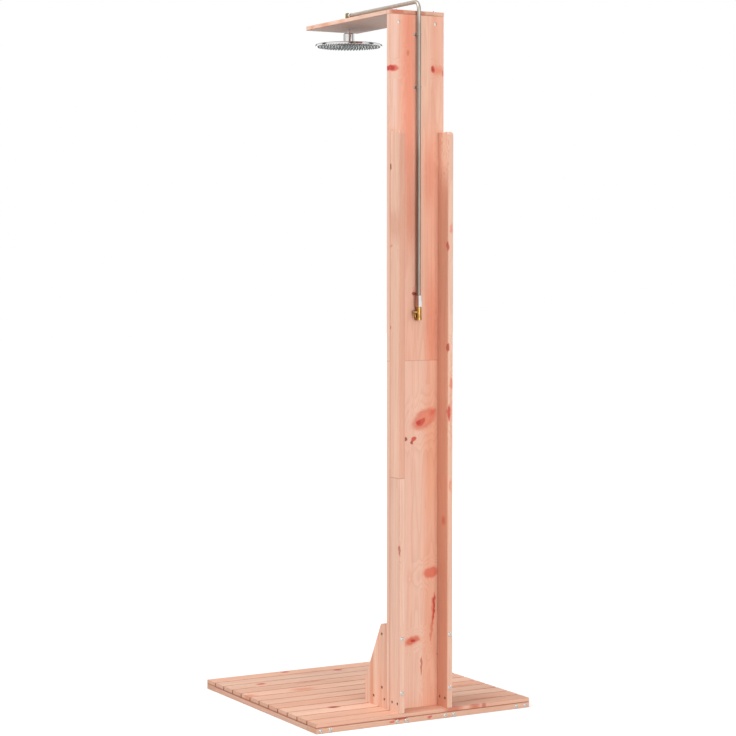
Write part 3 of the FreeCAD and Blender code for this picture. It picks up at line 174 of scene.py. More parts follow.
def softwood(name, axes, seed, tones=(), marks=(), pitch=None, joints=(), under=None):
    """Wood of one board, or of a row of boards. Axes are across, through and along the grain.

    Tones are (place across the board, colour) pairs. A mark is (across, along, half width, half
    length, turn in degrees, colour, strength), and goes right through the board unless its place and
    half depth through the board follow. From KNOT_STRENGTH it is a knot, which has a firm edge and
    bends the grain round it. A pitch (start, step, axis) gives each board in a row its own wood.
    Joints are (axis, place, half width, strength) of seams, painted as shade in the gaps between boards, and
    under is a paler, greyer colour for faces that look down.
    """
    material, tree = new_material(name)
    place = add(tree, "TexCoord")
    split = add(tree, "SeparateXYZ", {0: place["Object"]})
    across, through, along = (split[axis] for axis in axes)

    shift = seed
    if pitch is not None:
        start, step, axis = pitch
        count = add(tree, "Math", {0: split[axis], 1: start}, operation="SUBTRACT")[0]
        count = add(tree, "Math", {0: count, 1: step}, operation="DIVIDE")[0]
        count = add(tree, "Math", {0: count}, operation="FLOOR")[0]
        count = add(tree, "Math", {0: count, 1: seed}, operation="ADD")[0]
        chance = add(tree, "TexWhiteNoise", {"W": count}, noise_dimensions="1D")
        shift = add(tree, "Math", {0: chance["Value"], 1: FARTHEST_SHIFT}, operation="MULTIPLY")[0]
        own = add(tree, "SeparateColor", {0: chance["Color"]})

    def drawn_out(wide, long, detail, distortion=0.0):
        """Noise drawn out along the grain. A board's shift gives it its own piece of the pattern."""
        point = add(tree, "CombineXYZ", {0: across, 1: through, 2: along})[0]
        size = (1 / wide, 1 / wide, 1 / long)
        point = add(tree, "VectorMath", {0: point, 1: size}, operation="MULTIPLY")[0]
        offset = add(tree, "CombineXYZ", {0: shift, 2: shift})[0]
        point = add(tree, "VectorMath", {0: point, 1: offset}, operation="ADD")[0]
        settings = {"Vector": point, "Scale": 1.0, "Detail": detail, "Distortion": distortion}
        return add(tree, "TexNoise", settings)[0]

    figure = drawn_out(FIGURE_ACROSS, FIGURE_ALONG, 1.0, 0.3)
    band = drawn_out(BAND_ACROSS, BAND_ALONG, 2.0)
    fibre = drawn_out(FIBRE_ACROSS, FIBRE_ALONG, 3.0)
    broad = drawn_out(BROAD_ACROSS, BROAD_ALONG, 1.0)

    colour = add(tree, "ValToRGB", {0: band}, BAND_STOPS)["Color"]
    if tones:
        spot = add(tree, "MapRange", {0: across, 1: -TONE_SPAN / 2, 2: TONE_SPAN / 2})[0]
        tone = add(tree, "ValToRGB", {0: spot}, [(x / TONE_SPAN + 0.5, shade) for x, shade in tones])
        mix = {"Factor": TONE_SHARE, 6: colour, 7: tone["Color"]}
        colour = add(tree, "Mix", mix, data_type="RGBA")[2]
    if pitch is not None:
        warmth = add(tree, "MapRange", {0: own["Red"], **WARM_RANGE})[0]
        colour = add(tree, "Mix", {"Factor": warmth, 6: colour, 7: ORANGE}, data_type="RGBA")[2]

    # Marks: knots, resin streaks and warm patches. Their outlines are ragged.
    ragged = {"Vector": place["Object"], "Scale": RAGGED_PER_METRE, "Detail": 3.0}
    ragged = add(tree, "TexNoise", ragged)["Color"]
    ragged = add(tree, "VectorMath", {0: ragged, 1: (0.5, 0.5, 0.5)}, operation="SUBTRACT")[0]
    ragged = add(tree, "VectorMath", {0: ragged, "Scale": RAGGED_REACH}, operation="SCALE")[0]
    board = add(tree, "CombineXYZ", {0: across, 1: through, 2: along})[0]
    board = add(tree, "VectorMath", {0: board, 1: ragged}, operation="ADD")[0]
    for x, z, wide, long, turn, shade, strength, *inside in marks:
        y, deep = inside or (0.0, RIGHT_THROUGH)
        spot = add(tree, "Mapping", {
            "Vector": board,
            "Location": (x, y, z),
            "Rotation": (0, math.radians(turn), 0),
            "Scale": (wide, deep, long),
        }, vector_type="TEXTURE")[0]
        reach = add(tree, "VectorMath", {0: spot}, operation="LENGTH")["Value"]
        knot = strength >= KNOT_STRENGTH
        cover = {0: reach, 1: 1.0, 2: KNOT_FADE if knot else PATCH_FADE, 4: strength}
        cover = add(tree, "MapRange", cover, interpolation_type="SMOOTHSTEP")[0]
        colour = add(tree, "Mix", {"Factor": cover, 6: colour, 7: shade}, data_type="RGBA")[2]
        if knot:
            bend = {0: reach, **BEND_RANGE}
            bend = add(tree, "MapRange", bend, interpolation_type="SMOOTHSTEP")[0]
            figure = add(tree, "Math", {0: figure, 1: bend}, operation="ADD")[0]

    # Growth rings on a face are contours of the figure: early wood that darkens to a late-wood line.
    ring = add(tree, "Math", {0: figure, 1: FACE_RINGS}, operation="MULTIPLY")[0]
    ring = add(tree, "Math", {0: ring}, operation="FRACT")[0]
    late = add(tree, "MapRange", {0: ring, **LATE_RANGE}, interpolation_type="SMOOTHSTEP")[0]
    colour = add(tree, "Mix", {"Factor": late, 6: colour, 7: LATE_WOOD}, data_type="RGBA")[2]

    # Sawn ends drink more oil, and the rings cross them as arcs about a pith below the board.
    depth = add(tree, "Math", {0: through, 1: PITH_DEPTH}, operation="ADD")[0]
    arc = add(tree, "CombineXYZ", {0: across, 1: depth})[0]
    wobble = add(tree, "VectorMath", {0: ragged, "Scale": END_WOBBLE}, operation="SCALE")[0]
    arc = add(tree, "VectorMath", {0: arc, 1: wobble}, operation="ADD")[0]
    arc = add(tree, "VectorMath", {0: arc}, operation="LENGTH")["Value"]
    arc = add(tree, "Math", {0: arc, 1: END_RING_PITCH}, operation="DIVIDE")[0]
    arc = add(tree, "Math", {0: arc}, operation="FRACT")[0]
    arc = add(tree, "MapRange", {0: arc, **END_RING_RANGE}, interpolation_type="SMOOTHSTEP")[0]
    end = add(tree, "Mix", {"Factor": arc, 6: SAWN_END, 7: SAWN_RING}, data_type="RGBA")[2]
    sides = add(tree, "VectorMath", {0: place["Normal"]}, operation="ABSOLUTE")[0]
    sides = add(tree, "SeparateXYZ", {0: sides})
    facing_end = sides[axes[-1]]
    sawn = add(tree, "MapRange", {0: facing_end, **SAWN_RANGE})[0]
    colour = add(tree, "Mix", {"Factor": sawn, 6: colour, 7: end}, data_type="RGBA")[2]
    if under is not None:
        down = add(tree, "SeparateXYZ", {0: place["Normal"]})["Z"]
        down = add(tree, "MapRange", {0: down, **UNDER_RANGE})[0]
        colour = add(tree, "Mix", {"Factor": down, 6: colour, 7: under}, data_type="RGBA")[2]

    # Rounded arrises along the grain, whose normals lean between two faces, and seams are painted darker:
    # painted shade in the grooves and gaps between boards.
    squarest = add(tree, "Math", {0: sides["X"], 1: sides["Y"]}, operation="MAXIMUM")[0]
    squarest = add(tree, "Math", {0: squarest, 1: sides["Z"]}, operation="MAXIMUM")[0]
    lengthwise = add(tree, "MapRange", {0: facing_end, **LENGTHWISE_RANGE})[0]
    edge = add(tree, "MapRange", {0: squarest, **ARRIS_RANGE, 4: lengthwise})[0]
    for axis, level, half, strength in joints:
        seam = add(tree, "Math", {0: split[axis], 1: level}, operation="SUBTRACT")[0]
        seam = add(tree, "Math", {0: seam}, operation="ABSOLUTE")[0]
        seam = {0: seam, 1: half, 2: half / 2, 4: strength}
        seam = add(tree, "MapRange", seam, interpolation_type="SMOOTHSTEP")[0]
        edge = add(tree, "Math", {0: edge, 1: seam}, operation="MAXIMUM")[0]
    colour = add(tree, "Mix", {"Factor": edge, 6: colour, 7: PAINTED_SEAM_SHADE}, data_type="RGBA")[2]

    # Fibres, slow changes of tone and, in a row, boards that are paler or darker than the next.
    changes = [{0: fibre, **FIBRE_TONE}, {0: broad, **BROAD_TONE}]
    if pitch is not None:
        changes.append({0: own["Green"], **BOARD_TONE})
    for change in changes:
        tone = add(tree, "MapRange", change)[0]
        colour = add(tree, "VectorMath", {0: colour, "Scale": tone}, operation="SCALE")[0]

    gloss = add(tree, "MapRange", {0: fibre, **WOOD_ROUGHNESS})[0]
    relief = add(tree, "Math", {0: late, 1: fibre}, operation="ADD")[0]
    bump = add(tree, "Bump", {"Height": relief, "Strength": GRAIN_STRENGTH, "Distance": GRAIN_DEPTH})[0]
    surface = add(tree, "BsdfPrincipled", {
        "Base Color": colour,
        "Roughness": gloss,
        "Normal": bump,
        "IOR": PLAIN_IOR,
    })[0]
    return finish_material(material, tree, surface)


# ---- metals, rubber and plastic -------------------------------------------------------------

SCRATCH_DEPTH = 0.1 * MM
GRIT_STRENGTH = 0.1
GRIT_RANGE = {1: 0.35, 2: 0.65}


def metal(name, colour, dark, roughness, spread, scratch, relief=0.02, painted_shade_below=None):
    """A metal whose tone and gloss vary with fine scratches.

    Its roughness varies by the spread, scratch is the size of the scratches on X, Y and Z, and relief how
    deep they show. The last argument, (low, high, share), is painted shade: up to the height low the tone is
    darkened to this share, and from the height high it is full, so that what stands higher looks lit from
    above.
    """
    material, tree = new_material(name)
    place = add(tree, "TexCoord")["Object"]
    size = tuple(1 / s for s in scratch)
    point = add(tree, "VectorMath", {0: place, 1: size}, operation="MULTIPLY")[0]
    noise = add(tree, "TexNoise", {"Vector": point, "Scale": 1.0, "Detail": 3.0})[0]
    tone = add(tree, "MapRange", {0: noise, **NOISE_RANGE})[0]
    shade = add(tree, "Mix", {"Factor": tone, 6: dark, 7: colour}, data_type="RGBA")[2]
    # Painted shade: the tone darkens below a given height.
    if painted_shade_below is not None:
        low, high, share = painted_shade_below
        painted_shade = add(tree, "SeparateXYZ", {0: place})["Z"]
        painted_shade = add(tree, "MapRange", {0: painted_shade, 1: low, 2: high, 3: share, 4: 1.0})[0]
        shade = add(tree, "VectorMath", {0: shade, "Scale": painted_shade}, operation="SCALE")[0]
    gloss = {0: noise, **NOISE_RANGE, 3: roughness + spread, 4: roughness - spread}
    gloss = add(tree, "MapRange", gloss)[0]
    bump = add(tree, "Bump", {"Height": noise, "Strength": relief, "Distance": SCRATCH_DEPTH})[0]
    surface = add(tree, "BsdfPrincipled", {
        "Base Color": shade,
        "Metallic": 1.0,
        "Roughness": gloss,
        "Normal": bump,
    })[0]
    return finish_material(material, tree, surface)


def moulded(name, colour, dark, roughness, grit):
    """Rubber or plastic from a mould: one colour that varies with a matt grit of this size."""
    material, tree = new_material(name)
    place = add(tree, "TexCoord")["Object"]
    noise = add(tree, "TexNoise", {"Vector": place, "Scale": 1 / grit, "Detail": 4.0})[0]
    tone = add(tree, "MapRange", {0: noise, **GRIT_RANGE})[0]
    shade = add(tree, "Mix", {"Factor": tone, 6: dark, 7: colour}, data_type="RGBA")[2]
    bump = add(tree, "Bump", {"Height": noise, "Strength": GRIT_STRENGTH, "Distance": SCRATCH_DEPTH})[0]
    surface = add(tree, "BsdfPrincipled", {
        "Base Color": shade,
        "Roughness": roughness,
        "Normal": bump,
        "IOR": PLAIN_IOR,
    })[0]
    return finish_material(material, tree, surface)


def dress(material, *names):
    """Give nodes of the part one material."""
    for name in names:
        mesh = nodes[name].data
        mesh.materials.clear()
        mesh.materials.append(material)


# ---- boards of the post ---------------------------------------------------------------------
# Marks on the boards stand where the photograph shows them.

web_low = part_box("web_upper")[0]
flange_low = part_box("flange_upper_left")[0]
web_front, web_splice = web_low.y, web_low.z
flange_front, flange_splice = flange_low.y, flange_low.z
roof_low, roof_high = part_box("roof_board")
WEB_THICKNESS = 21 * MM

dress(softwood("softwood_web_upper", "XYZ", 3.1, [
    (-0.099, "#ECC1AD"), (-0.073, "#EABAA6"), (-0.067, "#EAAF97"), (-0.020, "#E9AC91"),
    (0.020, "#EAB79E"), (0.034, "#E8AB8F"), (0.053, "#E6A488"), (0.099, "#E8AD94"),
], [
    (-0.030, 2.10, 0.042, 0.72, 0, "#E7886B", 0.72),
    (0.030, 2.15, 0.034, 0.42, 0, "#F0C2A8", 0.72),
    (0.080, 1.90, 0.020, 0.20, 0, "#EFC0A6", 0.6),
    (-0.018, 1.62, 0.030, 0.16, 0, "#D98A6E", 0.5),
    (0.045, 1.75, 0.030, 0.16, 0, "#D88468", 0.5),
    (-0.040, 1.33, 0.060, 0.30, 0, "#EDBFA8", 0.6),
    (0.055, 1.27, 0.032, 0.26, 0, "#DD8A6B", 0.72),
    (-0.090, 2.0890, 0.026, 0.0130, 0, "#D9604C", 0.9),
    (-0.094, 2.0890, 0.018, 0.0085, 0, "#B92D2C", 0.9),
    (0.078, 2.088, 0.034, 0.022, 0, SALMON, 0.7),
    (0.059, 2.092, 0.010, 0.014, 0, KNOT_RED, 0.95),
    (0.058, 2.092, 0.005, 0.007, 0, "#A32A26", 0.9),
    (0.097, 2.080, 0.008, 0.012, 0, "#D9705F", 0.8),
    (-0.034, 2.140, 0.007, 0.011, 0, "#C77448", 0.8),
    (-0.0106, 1.3735, 0.008, 0.036, 0, "#DC8270", 0.55),
    (-0.0106, 1.3735, 0.012, 0.0065, 0, "#8E1F16", 0.95),
], joints=[("Z", web_splice, *FAINT_SEAM)]), "web_upper")
dress(softwood("softwood_web_lower", "XYZ", 8.4, [
    (-0.099, "#F1C8B4"), (0.015, "#F0C3AC"), (0.035, "#ECB499"), (0.062, "#EAAD8F"), (0.099, "#E6A98D"),
], [
    (0.055, 0.835, 0.040, 0.26, 0, "#E8A27E", 0.5),
    (0.028, 0.968, 0.062, 0.036, -33, "#DA775C", 0.85),
    (0.030, 0.969, 0.050, 0.027, -33, "#E99278", 0.7),
    (0.060, 0.990, 0.022, 0.012, -33, "#D95D47", 0.7),
    (0.016, 0.960, 0.026, 0.013, -33, KNOT_RED, 0.9),
    (0.006, 0.958, 0.012, 0.008, -33, "#C22F2A", 0.8),
    (-0.0417, 0.9066, 0.006, 0.008, 0, KNOT_DARK, 0.9),
    (-0.0110, 0.9050, 0.012, 0.009, -40, KNOT_RED, 0.95),
    (-0.0190, 0.8940, 0.008, 0.006, -50, "#A33327", 0.95),
    (0.055, 0.468, 0.036, 0.022, -10, "#DC684F", 0.85),
    (0.0640, 0.352, 0.009, 0.062, 3, "#D8705A", 0.8),
    (0.0655, 0.350, 0.0045, 0.060, 3, "#BE3A2B", 0.9),
    (0.058, 0.290, 0.006, 0.060, 8, KNOT_RED, 0.8),
    (0.060, 0.25, 0.016, 0.14, -8, ORANGE, 0.5),
    (-0.022, 0.249, 0.052, 0.022, -12, "#E2896B", 0.74),
    (-0.014, 0.252, 0.034, 0.015, -15, "#D8644A", 0.8),
    (-0.013, 0.251, 0.012, 0.007, -15, "#BC2C27", 0.95),
    (0.0775, 0.1985, 0.0035, 0.004, 0, "#A8452F", 0.74),
    (0.0175, 0.165, 0.0042, 0.040, 0, "#B5583C", 0.75),
    (-0.0740, 0.560, 0.006, 0.014, 0, "#B5584A", 0.8),
], joints=[("Z", web_splice, *FAINT_SEAM)]), "web_lower")
dress(softwood("softwood_flange_upper_left", "XYZ", 12.7, [
    (-0.100, "#EDC1A9"), (-0.0975, "#D3987F"), (-0.079, "#D1967D"),
], [
    (-0.099, 1.59, 0.012, 0.07, 0, "#D99C82", 0.6),
    (-0.100, 1.775, 0.010, 0.014, 0, "#7E3A26", 0.95, web_front - 0.003, 0.009),
    (-0.100, 1.525, 0.010, 0.006, 0, "#D98A74", 0.8, web_front - 0.006, 0.018),
    (-0.100, 1.264, 0.010, 0.008, 0, "#C4705A", 0.9, web_front - 0.002, 0.008),
], joints=[("Z", flange_splice, *SEAM), ("Y", web_front, *WIDE_SEAM)]), "flange_upper_left")
dress(softwood("softwood_flange_upper_right", "XYZ", 17.9, [
    # Painted shade: the inner face at 0.079 is darker, partly a redder piece of wood and partly the shade
    # inside the channel.
    (0.079, "#DC9D80"), (0.0815, "#DFA286"), (0.084, "#EEC0A8"), (0.100, "#E6BBA4"),
], [
    # Painted light: the pale patch at the top of the inner face is the light that falls in over the left
    # flange.
    (0.079, 1.86, 0.004, 0.20, 0, "#F8D6BE", 0.74, flange_front + 0.012, 0.050),
    (0.086, 0.990, 0.007, 0.034, 0, "#C73E33", 0.95, flange_front, 0.012),
    (0.080, 1.200, 0.008, 0.018, 12, "#B83A30", 0.95, flange_front, 0.010),
    (0.094, 1.085, 0.009, 0.022, 0, "#DF7A5C", 0.8, flange_front, 0.020),
    (0.092, 1.582, 0.009, 0.022, 0, SALMON, 0.7, flange_front, 0.030),
    (0.080, 1.525, 0.006, 0.020, -8, "#C2453A", 0.9, flange_front, 0.010),
    (0.092, 1.010, 0.006, 0.240, 0, "#D98C6A", 0.5, flange_front, 0.020),
]), "flange_upper_right")
dress(softwood("softwood_flange_lower_left", "XYZ", 21.3, [
    (-0.100, "#EDC1AB"), (-0.079, "#E9C4AF"),
], [
    (-0.0975, 0.556, 0.004, 0.022, 0, "#B5584A", 0.85, flange_front, 0.008),
], joints=[("Z", flange_splice, *SEAM), ("Y", web_front, *WIDE_SEAM)]), "flange_lower_left")
dress(softwood("softwood_flange_lower_right", "XYZ", 25.2, [
    # Painted shade: the inner face at 0.079 is darker, partly a redder piece of wood and partly the shade
    # inside the channel.
    (0.079, "#DC9B7F"), (0.0815, "#DF9F83"), (0.084, "#ECB89E"), (0.100, "#E4BCA6"),
], [
    (0.090, 0.755, 0.007, 0.034, 0, "#E0805F", 0.74, flange_front, 0.020),
    (0.079, 0.640, 0.006, 0.026, 0, "#CE6450", 0.7, flange_front + 0.022, 0.018),
]), "flange_lower_right")
dress(softwood("softwood_gusset", "XYZ", 29.6), "gusset_left", "gusset_right")
dress(softwood("softwood_roof_board", "XZY", 33.8, [
    (-0.110, "#ECC7B3"), (-0.060, "#E4BDA7"), (0.0, "#E9C5B1"), (0.060, "#E5BCA5"), (0.110, "#EAC5B1"),
], [
    (-0.040, roof_low.y, 0.085, 0.010, 0, "#CE7A5E", 0.75),
    (-0.072, roof_low.y, 0.030, 0.016, 0, "#C23F2C", 0.85, roof_high.z - 0.006, 0.010),
    (0.020, roof_low.y, 0.016, 0.010, 0, "#C9604A", 0.8, roof_high.z - 0.006, 0.008),
    # Painted shade: a dark line along the bottom edge of the near end, the shade of the crease beneath it.
    (0.0, roof_low.y, 0.130, 0.010, 0, "#8A3F2A", 0.74, roof_low.z, 0.0085),
    (roof_low.x, 0.095, 0.010, 0.050, 0, "#E49A7F", 0.7),
    (roof_low.x, 0.185, 0.010, 0.024, 0, "#E49A7F", 0.7),
    (roof_low.x, -0.020, 0.010, 0.030, 0, "#E3A88B", 0.7),
], joints=[
    ("Z", roof_low.z, *SEAM), ("Y", roof_low.y + WEB_THICKNESS, *SEAM),
], under="#EFE4D8"), "roof_board")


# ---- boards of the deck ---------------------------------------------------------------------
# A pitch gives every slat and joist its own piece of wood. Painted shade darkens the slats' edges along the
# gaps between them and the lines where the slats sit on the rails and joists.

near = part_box("slat_01")
next_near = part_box("slat_02")
slat_pitch = next_near[0].y - near[0].y
slat_gap = next_near[0].y - near[1].y
slats = sorted(name for name in nodes if name.startswith("slat_") and name != "slat_screws")
# Painted shade in the gaps between the slats.
grooves = [
    ("Y", near[1].y + slat_gap / 2 + step * slat_pitch, slat_gap / 2 + 2 * MM, GROOVE_STRENGTH)
    for step in range(len(slats) - 1)
]
dress(softwood("softwood_slats", "YZX", 2.0, [(-0.2, "#F4C9B1"), (0.2, "#F4C9B1")], [
    (near[0].y, 0.105, 0.012, 0.050, 0, "#C9644C", 0.74),
    (near[0].y, 0.187, 0.012, 0.028, 0, "#CE6A50", 0.74),
    (near[0].y, 0.222, 0.010, 0.012, 0, "#C2553F", 0.74),
    (-0.345, 0.100, 0.010, 0.060, 0, "#DB8C70", 0.6),
    (0.238, -0.273, 0.013, 0.022, 0, KNOT_RED, 0.9),
    (0.381, -0.107, 0.012, 0.020, 0, KNOT_RED, 0.9),
    (0.320, 0.072, 0.012, 0.020, 0, KNOT_RED, 0.9),
    (-0.205, -0.231, 0.016, 0.028, 0, "#B5604A", 0.8),
    (-0.205, -0.231, 0.009, 0.016, 0, KNOT_DARK, 0.9),
    (0.185, -0.112, 0.008, 0.080, 0, KNOT_RED, 0.7),
    (0.092, -0.184, 0.028, 0.070, 0, "#DC8A6A", 0.7),
    (0.087, -0.401, 0.028, 0.050, 0, "#DC8A6A", 0.74),
    (-0.120, 0.300, 0.010, 0.090, 0, "#CF6E55", 0.6),
    (0.020, 0.250, 0.012, 0.020, 0, KNOT_RED, 0.85),
    (-0.330, 0.255, 0.016, 0.120, 0, "#D98A6C", 0.6),
], (near[0].y, slat_pitch, "Y"), [("Z", near[0].z, *DARK_SEAM), *grooves]), *slats)
rail_low, rail_high = (corner.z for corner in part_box("rail_near"))
rail_middle = (rail_low + rail_high) / 2
# Painted shade: a seam along the rails' tops, under the slats.
dress(softwood("softwood_rails", "ZYX", 5.0, [(-0.2, "#DDB095"), (0.2, "#DDB095")], [
    (rail_middle, -0.126, 0.006, 0.012, 0, KNOT_RED, 0.8),
    (rail_high, -0.095, 0.008, 0.036, 0, "#B8402F", 0.9),
    (rail_middle, 0.0155, 0.006, 0.012, 0, KNOT_RED, 0.8),
], joints=[("Z", rail_high, *SEAM)]), "rail_near", "rail_far")
joists = [name for name in nodes if name.startswith("joist_") and name != "joist_barrel_nuts"]
joist_row = (-500 * MM, 250 * MM, "X")
# Painted shade: a dark line along the joists' tops, under the slats.
joist_top = [("Z", rail_high, *DARK_SEAM)]
dress(softwood("softwood_joists", "XZY", 7.0, pitch=joist_row, joints=joist_top), *joists)


# ---- fittings and fasteners -----------------------------------------------------------------

# Electroplated chrome: a clear pale mirror, faintly wavy.
chrome = metal("chromed_brass", "#ECEBEA", "#D6D5D4", 0.09, 0.03, (30 * MM, 30 * MM, 30 * MM))
dress(chrome, "tube_adapter", "tube_nut", "elbow_nut", "swivel_nut", "shower_shell", "swivel_ball",
      "lever_nut", "drop_stem")
# Brushed plate: the same metal under a soft brushing, which the nozzles stand through.
brushed = metal("brushed_face_plate", "#C6CACA", "#A4A8A8", 0.24, 0.06, (2 * MM, 12 * MM, 2 * MM), 0.05)
dress(brushed, "face_plate")
# Satin stainless tube: drawn lengthwise, so fine lines run along it. The upright is painted darker than the
# run over the roof: painted shade, so that the run looks lit from above.
upright = (roof_low.z - 30 * MM, roof_high.z + 40 * MM, 0.50)
satin = metal("satin_steel_tube", "#CBC3B9", "#B4ACA2", 0.50, 0.05, (1 * MM, 6 * MM, 60 * MM), 0.05, upright)
dress(satin, "riser_tube", "tube_clips")
# Zinc plate: pale grey crystals, half dull.
zinc = metal("zinc_plated_steel", "#F0EFEC", "#C6C6C6", 0.24, 0.06, (2 * MM, 2 * MM, 2 * MM), 0.08)
dress(zinc, "roof_barrel_nuts", *(name for name in nodes if name.endswith(("_bolts", "_screws"))))
# Dark grey-brown, dull steel on the cross dowels of the foot and the deck: painted shade. They are the same
# hardware as the dowels under the roof, darkened for the shade of the holes they sit in.
painted_shade_dowel = metal("painted_shade_dowel_steel", "#8C8078", "#625850", 0.42, 0.06, (2 * MM, 2 * MM, 2 * MM), 0.08)
dress(painted_shade_dowel, "foot_barrel_nuts", "gusset_barrel_nuts", "joist_barrel_nuts")
# Machined brass: turned on a lathe, warm yellow with browner marks where it was handled.
brass = metal("machined_brass", "#C29C5A", "#94703A", 0.40, 0.08, (4 * MM, 4 * MM, 1.2 * MM), 0.06)
dress(brass, "valve_body", "spindle_gland", "valve_lever", "valve_ball", "valve_spindle", "tube_olives")
# Weathered brass: the same metal gone olive where water stands on it.
weathered = metal("weathered_brass", "#A5864A", "#6A5E34", 0.34, 0.08, (5 * MM, 5 * MM, 5 * MM), 0.06)
dress(weathered, "elbow")
# Black rubber: matt, with a fine grit.
dress(moulded("black_rubber", "#2A2A2A", "#1A1A1A", 0.7, 0.6 * MM), "roof_washer")
# Seal plastic: white, slippery and half glossy.
dress(moulded("white_seal_plastic", "#E8E8E4", "#D8D8D2", 0.45, 1.0 * MM), "valve_seats", "swivel_seat")
# Grey silicone: soft and dull.
dress(moulded("grey_silicone", "#565C5C", "#3A4040", 0.55, 0.8 * MM), "nozzle_mat")
# Limed silicone: the same rubber where hard water dries on some nozzles and leaves others dark.
limed = moulded("limed_silicone", "#8E9494", "#1E2222", 0.5, 9.0 * MM)


# ---- new pieces -----------------------------------------------------------------------------


def new_piece(name, shape, material, body):
    """Turn a finished bmesh into a piece that rides on a body."""
    mesh = bpy.data.meshes.new(name)
    bmesh.ops.recalc_face_normals(shape, faces=shape.faces)
    shape.to_mesh(mesh)
    shape.free()
    mesh.materials.append(material)
    piece = bpy.data.objects.new(name, mesh)
    bpy.context.scene.collection.objects.link(piece)
    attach(piece, body)


def nozzles():
    """Rings of soft nozzles that stand out of the face plate."""
    low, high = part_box("face_plate")
    middle = (low + high) / 2
    rings, spacing = 11, 10.4 * MM
    base, tip, tall, root = 2.0 * MM, 1.2 * MM, 2.5 * MM, 0.2 * MM
    ring_turn = 0.5
    shape = bmesh.new()
    for ring in range(rings):
        count = max(1, round(2 * math.pi * ring))
        for step in range(count):
            turn = 2 * math.pi * step / count + ring_turn * ring
            spot = Vector((
                middle.x + ring * spacing * math.cos(turn),
                middle.y + ring * spacing * math.sin(turn),
                low.z - tall / 2 + root,
            ))
            bmesh.ops.create_cone(
                shape,
                cap_ends=True,
                segments=10,
                radius1=tip,
                radius2=base,
                depth=tall,
                matrix=Matrix.Translation(spot),
            )
    return shape


new_piece("nozzle_tips", nozzles(), limed, "shower")


# ---- studio ---------------------------------------------------------------------------------
# A white room: the world and the floor are white to the camera and light the object less than that.
# Metal sees the room's white walls, dark doorways in them, a dark screen behind the object, which
# outlines round pieces, and a brighter ceiling.

AMBIENT = 0.64
CEILING_RANGE = {1: 0.2, 2: 0.7, 3: 1.0, 4: 1.5}
DOORWAY_SIDES = [(0.94, -0.34, 0.0), (0.57, 0.82, 0.0)]
DOORWAY_RANGE = {1: 0.08, 2: 0.26, 3: 0.10, 4: 1.0}
SCREEN_SIDE = (0.49, 0.87, 0.0)
SCREEN_RANGE = {1: 0.70, 2: 0.86, 3: 1.0, 4: 0.12}
FLOOR_PAINT = "#BCBCBC"
FLOOR_HALF = 30
DECK_REACH = near[1].x
DECK_RANGE = {1: DECK_REACH - 30 * MM, 2: DECK_REACH, 3: 0.15, 4: 0.56}
FLOOR_RANGE = {1: 1.0, 2: 2.6, 4: 1.0}
MIRRORED_RANGE = {1: 2.0, 2: 8.0, 3: 0.25, 4: 1.0}

world = bpy.data.worlds.new("studio")
bpy.context.scene.world = world
world.use_nodes = True
tree = world.node_tree
tree.nodes.clear()
path = add(tree, "LightPath")
seen = {0: path["Is Camera Ray"], 1: path["Is Transmission Ray"]}
seen = add(tree, "Math", seen, operation="MAXIMUM")[0]
power = add(tree, "MapRange", {0: seen, 3: AMBIENT, 4: 1.0})[0]
direction = add(tree, "TexCoord")["Generated"]
up = add(tree, "SeparateXYZ", {0: direction})["Z"]
room = add(tree, "MapRange", {0: up, **CEILING_RANGE}, interpolation_type="SMOOTHSTEP")[0]
for doorway_side in DOORWAY_SIDES:
    side = add(tree, "VectorMath", {0: direction, 1: doorway_side}, operation="DOT_PRODUCT")["Value"]
    side = add(tree, "Math", {0: side}, operation="ABSOLUTE")[0]
    doorway = add(tree, "MapRange", {0: side, **DOORWAY_RANGE}, interpolation_type="SMOOTHSTEP")[0]
    room = add(tree, "Math", {0: room, 1: doorway}, operation="MULTIPLY")[0]
side = add(tree, "VectorMath", {0: direction, 1: SCREEN_SIDE}, operation="DOT_PRODUCT")["Value"]
screen = add(tree, "MapRange", {0: side, **SCREEN_RANGE}, interpolation_type="SMOOTHSTEP")[0]
room = add(tree, "Math", {0: room, 1: screen}, operation="MULTIPLY")[0]
power = add(tree, "Mix", {"Factor": path["Is Glossy Ray"], 2: power, 3: room})[0]
sky = add(tree, "Background", {"Color": (1, 1, 1, 1), "Strength": power})[0]
add(tree, "OutputWorld", {"Surface": sky})

floor_mesh = bpy.data.meshes.new("floor")
floor_shape = bmesh.new()
bmesh.ops.create_grid(floor_shape, x_segments=1, y_segments=1, size=FLOOR_HALF)
floor_shape.to_mesh(floor_mesh)
floor_shape.free()
floor = bpy.data.objects.new("floor", floor_mesh)
bpy.context.scene.collection.objects.link(floor)
material, tree = new_material("pale_floor")
paper = add(tree, "BsdfDiffuse", {"Color": FLOOR_PAINT})[0]
path = add(tree, "LightPath")
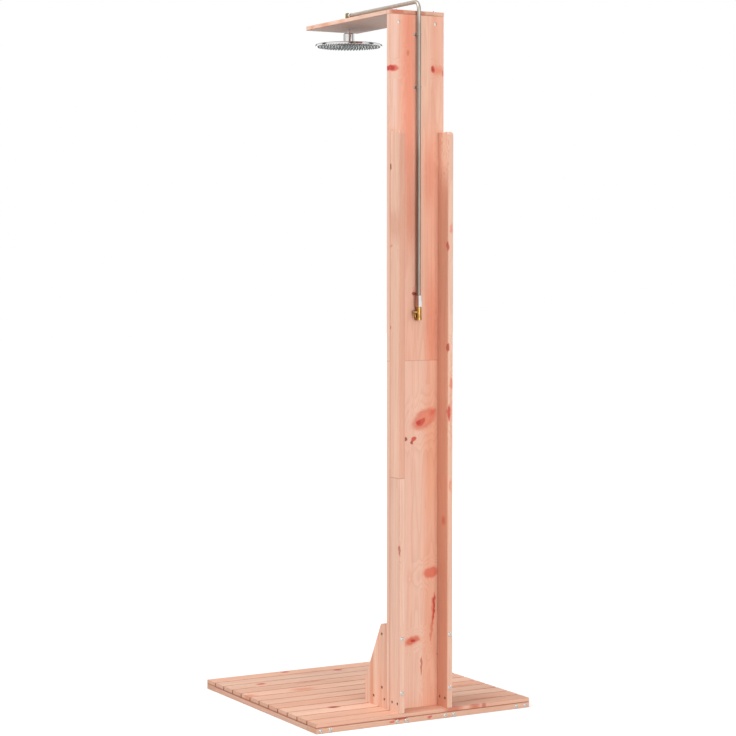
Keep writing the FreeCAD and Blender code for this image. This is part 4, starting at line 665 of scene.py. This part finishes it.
# Far from the object the floor goes over into the white of the room. Under the deck its glow is cut back,
# which paints shade under the deck. Metal sees it dimmer out to a greater distance.
place = add(tree, "TexCoord")["Object"]
reach = add(tree, "VectorMath", {0: place}, operation="LENGTH")["Value"]
away = add(tree, "SeparateXYZ", {0: add(tree, "VectorMath", {0: place}, operation="ABSOLUTE")[0]})
away = add(tree, "Math", {0: away["X"], 1: away["Y"]}, operation="MAXIMUM")[0]
open_floor = add(tree, "MapRange", {0: away, **DECK_RANGE})[0]
lift = add(tree, "MapRange", {0: reach, **FLOOR_RANGE, 3: open_floor})[0]
lift = add(tree, "Math", {0: path["Is Camera Ray"], 1: lift}, operation="MULTIPLY")[0]
mirrored = add(tree, "MapRange", {0: reach, **MIRRORED_RANGE})[0]
mirrored = add(tree, "Math", {0: path["Is Glossy Ray"], 1: mirrored}, operation="MULTIPLY")[0]
lift = add(tree, "Math", {0: lift, 1: mirrored}, operation="ADD")[0]
glow = add(tree, "Emission", {"Color": (1, 1, 1, 1), "Strength": lift})[0]
both = add(tree, "AddShader", {0: paper, 1: glow})[0]
floor_mesh.materials.append(finish_material(material, tree, both))


def softbox(name, place, aim, size, power):
    """A square lamp at a place, turned to its aim, with its side in metres and its power in watts."""
    lamp = bpy.data.lights.new(name, "AREA")
    lamp.size = size
    lamp.energy = power
    holder = bpy.data.objects.new(name, lamp)
    holder.location = place
    holder.rotation_euler = (Vector(aim) - Vector(place)).to_track_quat("-Z", "Y").to_euler()
    bpy.context.scene.collection.objects.link(holder)


softbox("key", place=(-5.7, -1.2, 7.8), aim=(0, -0.3, 0.9), size=4.4, power=490)
softbox("fill", place=(0.4, -8.6, 1.9), aim=(0, 0, 0.8), size=4.0, power=300)

camera_data = bpy.data.cameras.new("camera")
camera_data.sensor_width = SENSOR
camera_data.lens = FOCAL_PIXELS / PHOTO_PIXELS * SENSOR
camera = bpy.data.objects.new("camera", camera_data)
camera.location = CAMERA_PLACE
look = Vector((
    math.sin(CAMERA_TURN) * math.cos(CAMERA_DIP),
    math.cos(CAMERA_TURN) * math.cos(CAMERA_DIP),
    -math.sin(CAMERA_DIP),
))
camera.rotation_euler = look.to_track_quat("-Z", "Y").to_euler()
bpy.context.scene.collection.objects.link(camera)
bpy.context.scene.camera = camera
bpy.context.scene.view_settings.view_transform = "Standard"
